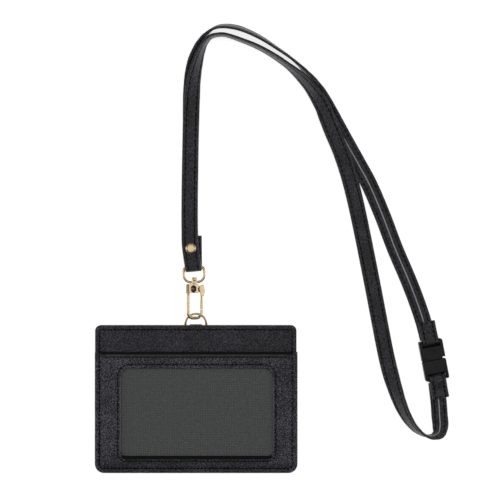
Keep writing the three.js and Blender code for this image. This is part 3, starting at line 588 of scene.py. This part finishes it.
def bent_stations(profile, to_world, steps):
    """Stations along a fold. profile is (along, height) points; to_world places them."""
    knots = [Vector((a, 0, h)) for a, h in profile]
    marks = [0.0]
    for a, b in zip(knots, knots[1:]):
        marks.append(marks[-1] + (b - a).length)
    stations = []
    for i in range(steps + 1):
        goal = marks[-1] * i / steps
        j = min(bisect.bisect_right(marks, goal), len(marks) - 1)
        part = (goal - marks[j - 1]) / max(marks[j] - marks[j - 1], 1e-9)
        stations.append(knots[j - 1].lerp(knots[j], part))
    placed = []
    for i, p in enumerate(stations):
        before, after = stations[max(i - 1, 0)], stations[min(i + 1, steps)]
        at, wide = to_world(p, i / steps)
        ahead = to_world(after, i / steps)[0] - to_world(before, i / steps)[0]
        placed.append(Station(at, ahead, wide))
    return placed


# ------------------------------------------------------------------ holder sizes
HOLDER_X = 55.0
TOP_Y = 40.25
BOTTOM_Y = -40.25
BOTTOM_R = 5.0
TOP_R = 3.0
STITCH_INSET = 2.45
LEATHER_PITCH = 2.05
LEATHER_STITCH = 1.65
THREAD_W = 0.62
LIP_ROWS = range(3, 9)  # rows of the pocket panel's skin: its black edge, edge paint with painted shade,
HEM_ROWS = range(9, 13)  # the smooth hem inside it, lighter as painted highlight,
FOOT_ROW = 4  # and where the darker foot, painted shade, begins
MOUTH_TRIM = 3  # steps left unpainted at each end of the mouth
LIP_WRAP = 4  # steps that the window's black lip, a painted shadow line, runs into the corners
MOUTH_Y = 25.8
PANEL_RIGHT = 55.5
WINDOW = (-40.6, 41.9, -30.8, 16.8)
WINDOW_R = (2.5, 2.5, 4.5, 4.5)
WINDOW_SEW = 1.75  # sides; the top and bottom rows lie further out
WINDOW_SEW_TOP = 2.1
WINDOW_SEW_BOTTOM = 2.9
LINING_MARGIN = 4.0
CORNER_STEPS = 8
SIDE_STEPS = (212, 148)
SCALLOP = 0.15  # how far the leather swells between two stitches
FRONT_TOP = 4.4
RIM_TOP = 5.55
PUFF = 6.7
MOUTH_SEW_Y = 23.0


def holder_outline(inset):
    low, high = max(BOTTOM_R - inset, 0.4), max(TOP_R - inset, 0.4)
    return rounded_path(-HOLDER_X + inset, HOLDER_X - inset, BOTTOM_Y + inset, TOP_Y - inset,
                        (low, low, high, high), CORNER_STEPS, SIDE_STEPS)


def panel_outline(inset):
    """The pocket panel's outline. Its mouth side is drawn in further, down to its own stitches."""
    low = max(BOTTOM_R - inset, 0.4)
    drawn = inset * (MOUTH_Y - MOUTH_SEW_Y) / STITCH_INSET
    return rounded_path(-HOLDER_X + inset, PANEL_RIGHT - inset, BOTTOM_Y + inset, MOUTH_Y - drawn,
                        (low, low, 0.4, 0.4), CORNER_STEPS, SIDE_STEPS)


def window_outline(grow):
    x0, x1, y0, y1 = WINDOW
    top, bottom = (grow * row / WINDOW_SEW for row in (WINDOW_SEW_TOP, WINDOW_SEW_BOTTOM))
    return rounded_path(x0 - grow, x1 + grow, y0 - bottom, y1 + top,
                        [r + grow for r in WINDOW_R], CORNER_STEPS, SIDE_STEPS)


def even_window_outline(grow):
    x0, x1, y0, y1 = WINDOW
    return rounded_path(x0 - grow, x1 + grow, y0 - grow, y1 + grow,
                        [r + grow for r in WINDOW_R], CORNER_STEPS, SIDE_STEPS)


def raised(path, height):
    return [Vector((p.x, p.y, height)) for p in path]


def perimeter_line(low, high):
    """The stitch line round the holder, which steps up where it crosses the pocket's mouth."""
    line = holder_outline(STITCH_INSET)
    return [Vector((p.x, p.y, high - (high - low) * smooth_step(p.y, MOUTH_Y - 0.5, MOUTH_Y + 0.6)))
            for p in line]


class Rhythm:
    """Tells how far a place is from the nearest stitch of a closed line: 1 at one, -1 between."""

    def __init__(self, line, pitch):
        self.line = [Vector((p.x, p.y, 0)) for p in line]
        marks = running_length(line)
        self.marks = marks[:-1]
        self.pitch = marks[-1] / int(marks[-1] / pitch)

    def at(self, k):
        return math.cos(2 * math.pi * self.marks[k] / self.pitch)

    def near(self, place):
        flat = Vector((place.x, place.y, 0))
        k = min(range(len(self.line)), key=lambda i: (self.line[i] - flat).length_squared)
        return self.at(k)


PERIMETER = perimeter_line(FRONT_TOP - 0.07, RIM_TOP - 0.06)
AROUND = Rhythm(PERIMETER, LEATHER_PITCH)
WINDOW_LINE = raised(window_outline(WINDOW_SEW), PUFF - 0.18)
AROUND_WINDOW = Rhythm(WINDOW_LINE, LEATHER_PITCH)


# ------------------------------------------------------------------ holder pieces
def back_leather():
    """Back leather with rolled edges, its bobbin stitches sunk clear of the table."""
    profile = ((3.3, 0.0), (2.85, 0.03), (2.65, 0.16), (2.45, 0.3), (2.25, 0.16), (2.05, 0.03),
               (0.5, 0.0), (0.18, 0.07), (0.0, 0.26), (0.0, 0.58), (0.1, 0.74), (0.4, 0.8))
    points, faces = skin([raised(holder_outline(i), z) for i, z in profile])
    return new_piece("back_leather", points, faces, pocket_leather)


def front_leather():
    """Front leather: a rolled edge, a sewn groove and a padded swell inside it."""
    profile = ((0.4, 3.6, 0), (0.08, 3.68, 0), (0.0, 3.92, 0), (0.05, 4.2, 0), (0.28, 4.38, 0),
               (0.8, 4.44, 0), (1.6, 4.44, 0.2), (2.08, 4.32, 0.5), (2.45, 4.08, 0.8), (2.85, 4.35, 1),
               (3.4, 4.53, 1), (4.6, 4.5, 0.3), (6.5, 4.42, 0))
    rings = [raised(even_window_outline(LINING_MARGIN), 3.6)]
    for inset, height, swell in profile:
        outline = holder_outline(inset)
        rings.append([Vector((p.x, p.y, height - swell * SCALLOP * AROUND.at(k)))
                      for k, p in enumerate(outline)])
    rings.append(raised(even_window_outline(LINING_MARGIN), FRONT_TOP))
    points, faces = skin(rings, row_closed=True)
    return new_piece("front_leather", points, faces, pocket_leather)


def rim_filler():
    """Turned leather between the two faces, open where the D-ring comes out."""
    open_half = 6.95
    section = ((0.3, 0.84), (0.12, 1.0), (0.1, 2.2), (0.12, 3.4), (0.3, 3.56), (2.5, 3.56), (2.5, 0.84))
    outlines = [holder_outline(inset) for inset, _ in section]
    outer = outlines[0]
    count = len(outer)
    start = next(i for i in range(count)
                 if outer[i].y > TOP_Y - 1 and -HOLDER_X / 2 < outer[i].x < -open_half)
    rings = []
    for step in range(count):
        i = (start + step) % count
        if outer[i].y > TOP_Y - 1 and abs(outer[i].x) < open_half:
            break
        rings.append([Vector((o[i].x, o[i].y, z)) for o, (_, z) in zip(outlines, section)])
    points, faces = skin(rings)
    return new_piece("rim_filler", points, faces, pocket_leather)


def pocket_panel():
    """Padded pocket panel round the window: sewn down on three sides, raised along its mouth."""
    rims = ((4.9, 5.7, 5.7, 0), (3.3, 4.46, 5.72, 0), (0.3, 4.46, 5.76, 0), (0.06, 4.52, 5.82, 0),
            (0.0, 4.8, 5.98, 0), (0.0, 5.2, 6.4, 0), (0.08, 5.42, 6.62, 0), (0.35, 5.53, 6.74, 0),
            (1.2, 5.56, 6.82, 0), (1.7, 5.55, 6.8, 0.3), (2.12, 5.47, 6.68, 0.6),
            (2.45, 5.22, 6.42, 0.8), (2.85, 5.5, 6.5, 1), (3.3, 5.82, 6.76, 1), (3.9, 6.14, 6.76, 0.8),
            (4.6, 6.4, 6.74, 0.4), (5.2, 6.54, 6.72, 0))
    frames = ((WINDOW_SEW + 0.65, 6.64, 0.6), (WINDOW_SEW + 0.3, 6.58, 1), (WINDOW_SEW, 6.25, 0.8),
              (WINDOW_SEW - 0.3, 6.55, 1), (WINDOW_SEW - 0.7, 6.6, 0.5), (0.55, 6.6, 0),
              (0.3, 6.56, 0), (0.1, 6.44, 0), (0.0, 6.2, 0), (0.0, 5.75, 0))
    edge = panel_outline(0)
    beat = [AROUND.near(panel_outline(STITCH_INSET)[k]) for k in range(len(edge))]
    opened = [smooth_step(HOLDER_X - abs(p.x), 1.2, 4.2)
              if p.y > MOUTH_Y - 0.6 else 0.0 for p in edge]
    falls = [1.0 if p.y < BOTTOM_Y + 0.6 else 0.0 for p in edge]
    rings = [raised(window_outline(2.2), 5.68)]
    for inset, sewn, mouth, swell in rims:
        path = panel_outline(inset)
        ring = []
        for k, p in enumerate(path):
            height = sewn + (mouth - sewn) * opened[k] - swell * SCALLOP * beat[k]
            height -= 0.16 * falls[k] * smooth_step(inset, 3.3, 4.6) * (sewn > 5.8)
            ring.append(Vector((p.x, p.y, height)))
        rings.append(ring)
    outer = window_outline(frames[0][0])
    rings.append([a.lerp(Vector((b.x, b.y, frames[0][1])), 0.5) + UP * 0.09
                  for a, b in zip(rings[-1], outer)])
    for grow, height, swell in frames:
        path = window_outline(grow)
        rings.append([Vector((p.x, p.y, height - 0.8 * swell * SCALLOP * AROUND_WINDOW.at(k)))
                      for k, p in enumerate(path)])
    points, faces = skin(rings, row_closed=True)
    across, up = SIDE_STEPS
    right = range(2 * CORNER_STEPS + across, 2 * CORNER_STEPS + across + up)
    left = range(4 * CORNER_STEPS + 2 * across + up, 4 * CORNER_STEPS + 2 * across + 2 * up)
    sides = len(edge)
    lip = len(rings) - 5
    # Painted highlight: the window's lip on its left and right sides takes the paler edge colour.
    cut = [row * sides + k for row in range(lip, lip + 3) for k in (*right, *left) if k < sides]
    below = range(CORNER_STEPS - LIP_WRAP, CORNER_STEPS + across + LIP_WRAP)
    corner = 3 * CORNER_STEPS + across + up
    mouth = range(corner + MOUTH_TRIM, corner + across - MOUTH_TRIM)
    # Painted shade: a black line along the window's lower lip, and the mouth's black edge, edge paint
    # with the shadow of its gap.
    painted = [row * sides + k for row in range(lip - 1, lip + 4) for k in below]
    painted += [row * sides + k for row in LIP_ROWS for k in mouth]
    # Painted highlight: the hem band below the black mouth edge takes the lighter hem leather.
    hem = [row * sides + k for row in HEM_ROWS for k in mouth]
    # Painted shade: the strip below the window takes the darker plain leather instead of the lighter
    # copy, as the shade on its falling slope.
    foot = range(CORNER_STEPS, CORNER_STEPS + across)
    flat = [row * sides + k for row in range(FOOT_ROW, lip - 1) for k in foot]
    return new_piece("pocket_panel", points, faces, lit_padded_leather, window_edge_highlight, edge_paint_and_shade, hem_leather_highlight,
                     pocket_leather, marked=(cut, painted, hem, flat))


def holder_stitching():
    """Every sewn line of the holder: its rim on both faces, the window and the pocket's mouth."""
    half = HOLDER_X - STITCH_INSET - 4
    hem = [(x, MOUTH_SEW_Y, PUFF - 0.12) for x in (-half, half)]
    back = raised(holder_outline(STITCH_INSET), 0.27)
    lines = [(PERIMETER, True), (WINDOW_LINE, True), (hem, False), (back, True)]
    return sew("holder_stitching", lines, LEATHER_PITCH, LEATHER_STITCH, THREAD_W)


# ------------------------------------------------------------------ metal pieces
HOOK_ROLL = math.radians(32)
HOOK_PLACE = (-0.55, 44.2, 3.091)
CAST_VOXEL = 0.11


def copy_of_node(name, node):
    """A merged copy of a CAD node's mesh as a piece of its own."""
    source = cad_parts[node]
    mesh = source.data.copy()
    shell = bmesh.new()
    shell.from_mesh(mesh)
    bmesh.ops.remove_doubles(shell, verts=shell.verts, dist=0.0005 * MM)
    bmesh.ops.dissolve_limit(shell, angle_limit=math.radians(1), verts=shell.verts, edges=shell.edges)
    shell.to_mesh(mesh)
    shell.free()
    mesh.name = name
    piece = bpy.data.objects.new(name, mesh)
    bpy.context.collection.objects.link(piece)
    return piece


def applied(piece):
    """Bakes the piece's modifiers into its mesh."""
    depsgraph = bpy.context.evaluated_depsgraph_get()
    mesh = bpy.data.meshes.new_from_object(piece.evaluated_get(depsgraph))
    piece.modifiers.clear()
    piece.data = mesh
    return piece


def dressed(piece, material):
    piece.data.materials.clear()
    piece.data.materials.append(material)
    piece.data.shade_smooth()
    return piece


def cast_piece(name, node, rounds=5):
    """Die-cast shape: the node's form with every edge softened as tumbling leaves it."""
    piece = copy_of_node(name, node)
    remesh = piece.modifiers.new("cast", "REMESH")
    remesh.mode = "VOXEL"
    remesh.voxel_size = CAST_VOXEL * MM
    soften = piece.modifiers.new("tumble", "SMOOTH")
    soften.factor = 0.5
    soften.iterations = rounds
    return dressed(applied(piece), pale_gold)


def hook_axes(point):
    """A point's place in the hook's own plane: across, along and out of it, in millimetres."""
    x, y, z = point.x / MM - HOOK_PLACE[0], point.y / MM - HOOK_PLACE[1], point.z / MM - HOOK_PLACE[2]
    c, s = math.cos(HOOK_ROLL), math.sin(HOOK_ROLL)
    return x * c - z * s, y, x * s + z * c


HOOK_ACROSS = Vector((math.cos(HOOK_ROLL), 0, -math.sin(HOOK_ROLL)))
HOOK_OUT = Vector((math.sin(HOOK_ROLL), 0, math.cos(HOOK_ROLL)))
SPINE_U = -4.2
GATE_U = 4.2


HOLLOW = (-1.7, 15.9)  # middle of the hollow in the front of the hook's head
HOLLOW_R = (1.9, 2.05)
HOLLOW_DEPTH = 0.8
HEAD_FROM = 13.4  # along the hook, where its head begins
BEND_TO = 1.6  # and where its bottom bend ends


def hook_casting():
    """Hook body with a channel down its spine and a hollow round a boss in its head; the hollow, the
    head's flank and the bend's underside take a darker gold as painted shade.
    """
    piece = cast_piece("hook_casting", "hook_frame")
    piece.data.materials.append(shaded_gold)
    # Painted shade: faces in the hollow, on the head's side flank and under the bottom bend take the
    # darker gold.
    for face in piece.data.polygons:
        u, v, w = hook_axes(face.center)
        reach = math.hypot((u - HOLLOW[0]) / HOLLOW_R[0], (v - HOLLOW[1]) / HOLLOW_R[1])
        hollow = w > 0.2 and 0.45 < reach < 0.95 and face.normal.dot(HOOK_OUT) > 0.6
        flank = v > HEAD_FROM and face.normal.dot(HOOK_ACROSS) < -0.75
        under = v < BEND_TO and face.normal.y < -0.55
        face.material_index = int(hollow or flank or under)
    for vertex in piece.data.vertices:
        u, v, w = hook_axes(vertex.co)
        reach = math.hypot((u - HOLLOW[0]) / HOLLOW_R[0], (v - HOLLOW[1]) / HOLLOW_R[1])
        if w > 0.2 and reach < 1:
            vertex.co -= HOOK_OUT * (HOLLOW_DEPTH * math.sin(math.pi * reach) ** 2 * MM)
        if w > 0.2 and 3.2 < v < 13.2:
            channel = math.exp(-((u - SPINE_U) / 0.26) ** 2)
            ends = smooth_step(v, 3.2, 4.2) * (1 - smooth_step(v, 12.2, 13.2))
            vertex.co -= HOOK_OUT * (0.24 * channel * ends * MM)
    return piece


def hook_gate_lever():
    """Sprung gate: its bar is slimmer towards the pin."""
    piece = cast_piece("hook_gate_lever", "hook_gate")
    for vertex in piece.data.vertices:
        u, v, w = hook_axes(vertex.co)
        if v < 12.0:
            slim = 1.12 - 0.34 * smooth_step(v, 5.0, 12.0)
            vertex.co += HOOK_ACROSS * ((u - GATE_U) * (slim - 1) * MM)
    return piece


def turned_piece(name, profile, place, material, sides=56):
    """A piece turned from a profile of radius and height."""
    rings = [[Vector((place[0] + r * math.cos(2 * math.pi * k / sides),
                      place[1] + r * math.sin(2 * math.pi * k / sides), z)) for k in range(sides)]
             for r, z in profile]
    points, faces = skin(rings)
    return new_piece(name, points, faces, material)


RIVET = (-2.65, 82.2)


def rivet_pieces():
    cap = ((0.95, 0.62), (1.0, 0.7), (1.0, 6.08), (2.6, 6.1), (2.82, 6.16), (2.86, 6.32), (2.8, 6.52),
           (2.62, 6.72), (2.36, 6.9), (2.08, 7.02), (1.86, 7.08), (1.7, 7.1), (1.2, 7.16),
           (0.6, 7.19), (0.1, 7.2))
    base = ((0.1, 0.1), (0.5, 0.07), (1.2, 0.02), (2.4, 0.0), (2.72, 0.06), (2.85, 0.2),
            (2.72, 0.34), (2.4, 0.4), (0.1, 0.4))
    return (turned_piece("rivet_dome", cap, RIVET, pale_gold),
            turned_piece("rivet_base", base, RIVET, pale_gold))


# ------------------------------------------------------------------ clasp and sewn loops
CLASP_PLACE = (130.0, 21.3)
CLASP_TURN = math.radians(10.8)
CLASP_MID = 2.7
CLASP_BAR = 10.1  # from the seam to each half's bar
LOOP_W = 9.4
LOOP_LENGTH = 11.0
LOOP_R = 1.65
LOOP_LOW = 0.15


def clasp_point(across, along, z):
    """A place on the clasp, measured across it and along it from the seam."""
    c, s = math.cos(CLASP_TURN), math.sin(CLASP_TURN)
    return Vector((CLASP_PLACE[0] + across * c - along * s, CLASP_PLACE[1] + across * s + along * c, z))


RIB = ((-5.0, 5.0), (7.0, 8.45), (0.15, 0.9))  # across, along from the seam, and up


def clasp_half(name, node, end):
    """Moulded half: a low rib floors its slot, and its edges are broken as the mould leaves them. The
    rib, in the same dark plastic, stands in for the shade in the gap behind the sewn loop.
    """
    piece = copy_of_node(name, node)
    shell = bmesh.new()
    shell.from_mesh(piece.data)
    corners = [shell.verts.new(clasp_point(x, end * y, z) * MM) for z in RIB[2]
               for x, y in ((RIB[0][0], RIB[1][0]), (RIB[0][1], RIB[1][0]),
                            (RIB[0][1], RIB[1][1]), (RIB[0][0], RIB[1][1]))]
    sides = [(k, (k + 1) % 4, (k + 1) % 4 + 4, k + 4) for k in range(4)]
    for loop in ((0, 1, 2, 3), (4, 5, 6, 7), *sides):
        shell.faces.new([corners[k] for k in loop])
    bmesh.ops.recalc_face_normals(shell, faces=shell.faces)
    shell.to_mesh(piece.data)
    shell.free()
    bevel = piece.modifiers.new("edges", "BEVEL")
    bevel.width = 0.28 * MM
    bevel.segments = 3
    bevel.limit_method = "ANGLE"
    bevel.angle_limit = math.radians(38)
    bevel.harden_normals = True
    piece.data.shade_smooth()
    made = applied(piece)
    made.data.materials.clear()
    made.data.materials.append(clasp_acetal)
    return made


def loop_profile():
    """Side view of a sewn loop: from under the bar, round it, and down on to the strap."""
    points = [(1.5, -LOOP_R - 0.1), (0.6, -LOOP_R)]
    points += [(LOOP_R * math.cos(a), LOOP_R * math.sin(a))
               for a in (math.radians(-90 - 15 * i) for i in range(13))]
    points += [(1.2, 1.5), (2.6, 1.12), (4.0, 0.66), (5.2, 0.34), (6.4, 0.19), (8.0, LOOP_LOW),
               (LOOP_LENGTH, LOOP_LOW)]
    return points


def clasp_loop(name, end):
    def to_world(p, share):
        wide = clasp_point(end, 0, 0) - clasp_point(0, 0, 0)
        return clasp_point(0, end * (CLASP_BAR + p.x), CLASP_MID + p.z), wide

    stations = bent_stations(loop_profile(), to_world, 60)
    return strap_piece(name, stations, width=LOOP_W, seam=False), stations


def loop_lines(stations):
    """Box stitching of a sewn loop: two rows along its top leg and two across it."""
    top = [s for s in stations if s.at.z > 2.6 and s.travel.z > -0.9][-30:-2]
    row = LOOP_W / 2 - EDGE_STITCH
    lift = STRAP_T / 2 * 0.86
    lines = [([s.point(side * row, lift) for s in top], False) for side in (-1, 1)]
    for s in (top[9], top[-1]):
        lines.append(([s.point(side * row, lift + 0.1) for side in (-1, 1)], False))
    return lines


# ------------------------------------------------------------------ strap tail round its ring
RING_BAR = (-1.162, 71.992, 3.25)
TAIL_R = 1.8
TAIL_LENGTH = 17.0
TAIL_HEADING = math.radians(0.5)


def tail_stations(meets):
    """From the tail's free end, down behind the strap, round the ring and up to the strap."""
    heading = math.atan2(-meets.travel.x, meets.travel.y)
    reach = meets.at.y - RING_BAR[1]
    profile = [(TAIL_LENGTH, -TAIL_R), (9.0, -TAIL_R)]
    profile += [(TAIL_R * math.cos(a), TAIL_R * math.sin(a))
                for a in (math.radians(-90 - 15 * i) for i in range(13))]
    profile += [(reach / math.cos(heading) - 0.01, TAIL_R)]

    def to_world(p, share):
        turn = TAIL_HEADING + (heading - TAIL_HEADING) * smooth_step(share, 0.62, 0.98)
        start = Vector((meets.at.x + reach * math.tan(heading), RING_BAR[1], RING_BAR[2]))
        base = Vector(RING_BAR).lerp(start, smooth_step(share, 0.62, 0.98))
        at = base + Vector((-math.sin(turn), math.cos(turn), 0)) * p.x + UP * p.z
        return at, Vector((math.cos(turn), math.sin(turn), 0))

    return bent_stations(profile, to_world, 90)


# ------------------------------------------------------------------ putting it together
def belongs(piece, body, slot, *nodes):
    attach(piece, body)
    if nodes:
        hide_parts(*nodes)


def lay_straps():
    front = route_stations(FRONT_STRAP_ROUTE, 420)
    rear = route_stations(REAR_STRAP_ROUTE, 340)
    front_strap = strap_piece("front_strap_leather", front, flip=1, butt=(True, False))
    rear_strap = strap_piece("rear_strap_leather", rear, flip=-1)
    tail = tail_stations(front[0])
    tail_strap = strap_piece("strap_tail_leather", tail, butt=(False, True))
    belongs(rear_strap, "lanyard", "strap_leather", "rear_strap")
    belongs(tail_strap, "lanyard", "strap_leather", "strap_tail")
    front_sewing = sew("front_strap_stitching", strap_rows(front), STRAP_PITCH, STITCH_LENGTH,
                       STITCH_WIDTH)
    rear_sewing = sew("rear_strap_stitching", strap_rows(rear) + strap_rows(tail), STRAP_PITCH,
                      STITCH_LENGTH, STITCH_WIDTH)
    belongs(rear_sewing, "lanyard", "thread")
    for piece, slot in ((front_strap, "strap_leather"), (front_sewing, "thread")):
        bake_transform(piece)
    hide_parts("front_strap")


def build_holder():
    panel = pocket_panel()
    belongs(back_leather(), "holder", "pocket_leather", "back_panel")
    belongs(front_leather(), "holder", "pocket_leather", "front_panel")
    belongs(rim_filler(), "holder", "pocket_leather", "edge_band")
    belongs(panel, "holder", "pocket_leather", "window_panel")
    belongs(holder_stitching(), "holder", "thread", "perimeter_thread", "window_thread", "hem_thread")


def build_metal():
    belongs(cast_piece("d_ring", "holder_ring"), "ring", "gold_metal", "holder_ring")
    belongs(hook_casting(), "hook", "gold_metal", "hook_frame")
    belongs(hook_gate_lever(), "gate", "gold_metal", "hook_gate")
    belongs(cast_piece("swivel_loop", "strap_ring"), "swivel", "gold_metal", "strap_ring")
    belongs(cast_piece("swivel_stud", "swivel_post", 3), "hook", "gold_metal", "swivel_post")
    belongs(cast_piece("gate_rivet", "gate_pin", 2), "hook", "gold_metal", "gate_pin")
    dome, base = rivet_pieces()
    belongs(dome, "lanyard", "gold_metal", "rivet_cap")
    belongs(base, "lanyard", "gold_metal", "rivet_back")


def build_clasp():
    belongs(clasp_half("socket_half", "clasp_socket", 1), "lanyard", "clasp_plastic", "clasp_socket")
    belongs(clasp_half("plug_half", "clasp_plug", -1), "plug", "clasp_plastic", "clasp_plug")
    for end, body, which in ((1, "lanyard", "socket"), (-1, "plug", "plug")):
        loop, stations = clasp_loop(which + "_loop_leather", end)
        belongs(loop, body, "strap_leather", which + "_strap_loop")
        sewing = sew(which + "_loop_stitching", loop_lines(stations), STRAP_PITCH * 0.8,
                     STITCH_LENGTH * 0.8, STITCH_WIDTH)
        belongs(sewing, body, "thread")


def dress_cad_nodes():
    """Materials for the CAD nodes that stay."""
    finishes = {"ring_tab": pocket_leather, "pocket_hem": pocket_leather, "padding_board": fibre_board,
                "pocket_lining": lining, "window_film": window_vinyl, "gate_spring": spring_wire}
    for node, material in finishes.items():
        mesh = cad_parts[node].data
        mesh.materials.clear()
        mesh.materials.append(material)


TABLE_SIZE = 6.0  # metres
TABLE_Z = -0.05  # millimetres, just clear of what lies on it


def lay_table():
    half = TABLE_SIZE / 2
    corners = [Vector((x * half, y * half, TABLE_Z * MM)) / MM
               for x, y in ((-1, -1), (1, -1), (1, 1), (-1, 1))]
    table = new_piece("table", corners, [(0, 1, 2, 3)], table_card)


def light_studio():
    world = bpy.data.worlds.new("studio")
    bpy.context.scene.world = world
    world.use_nodes = True
    world.node_tree.nodes["Background"].inputs["Color"].default_value = (1, 1, 1, 1)
    world.node_tree.nodes["Background"].inputs["Strength"].default_value = SKY
    for softbox in SOFTBOXES:
        add_softbox(*softbox)
    bpy.context.scene.view_settings.view_transform = "Standard"



add_camera()
lay_straps()
build_holder()
build_metal()
build_clasp()
dress_cad_nodes()
lay_table()
light_studio()
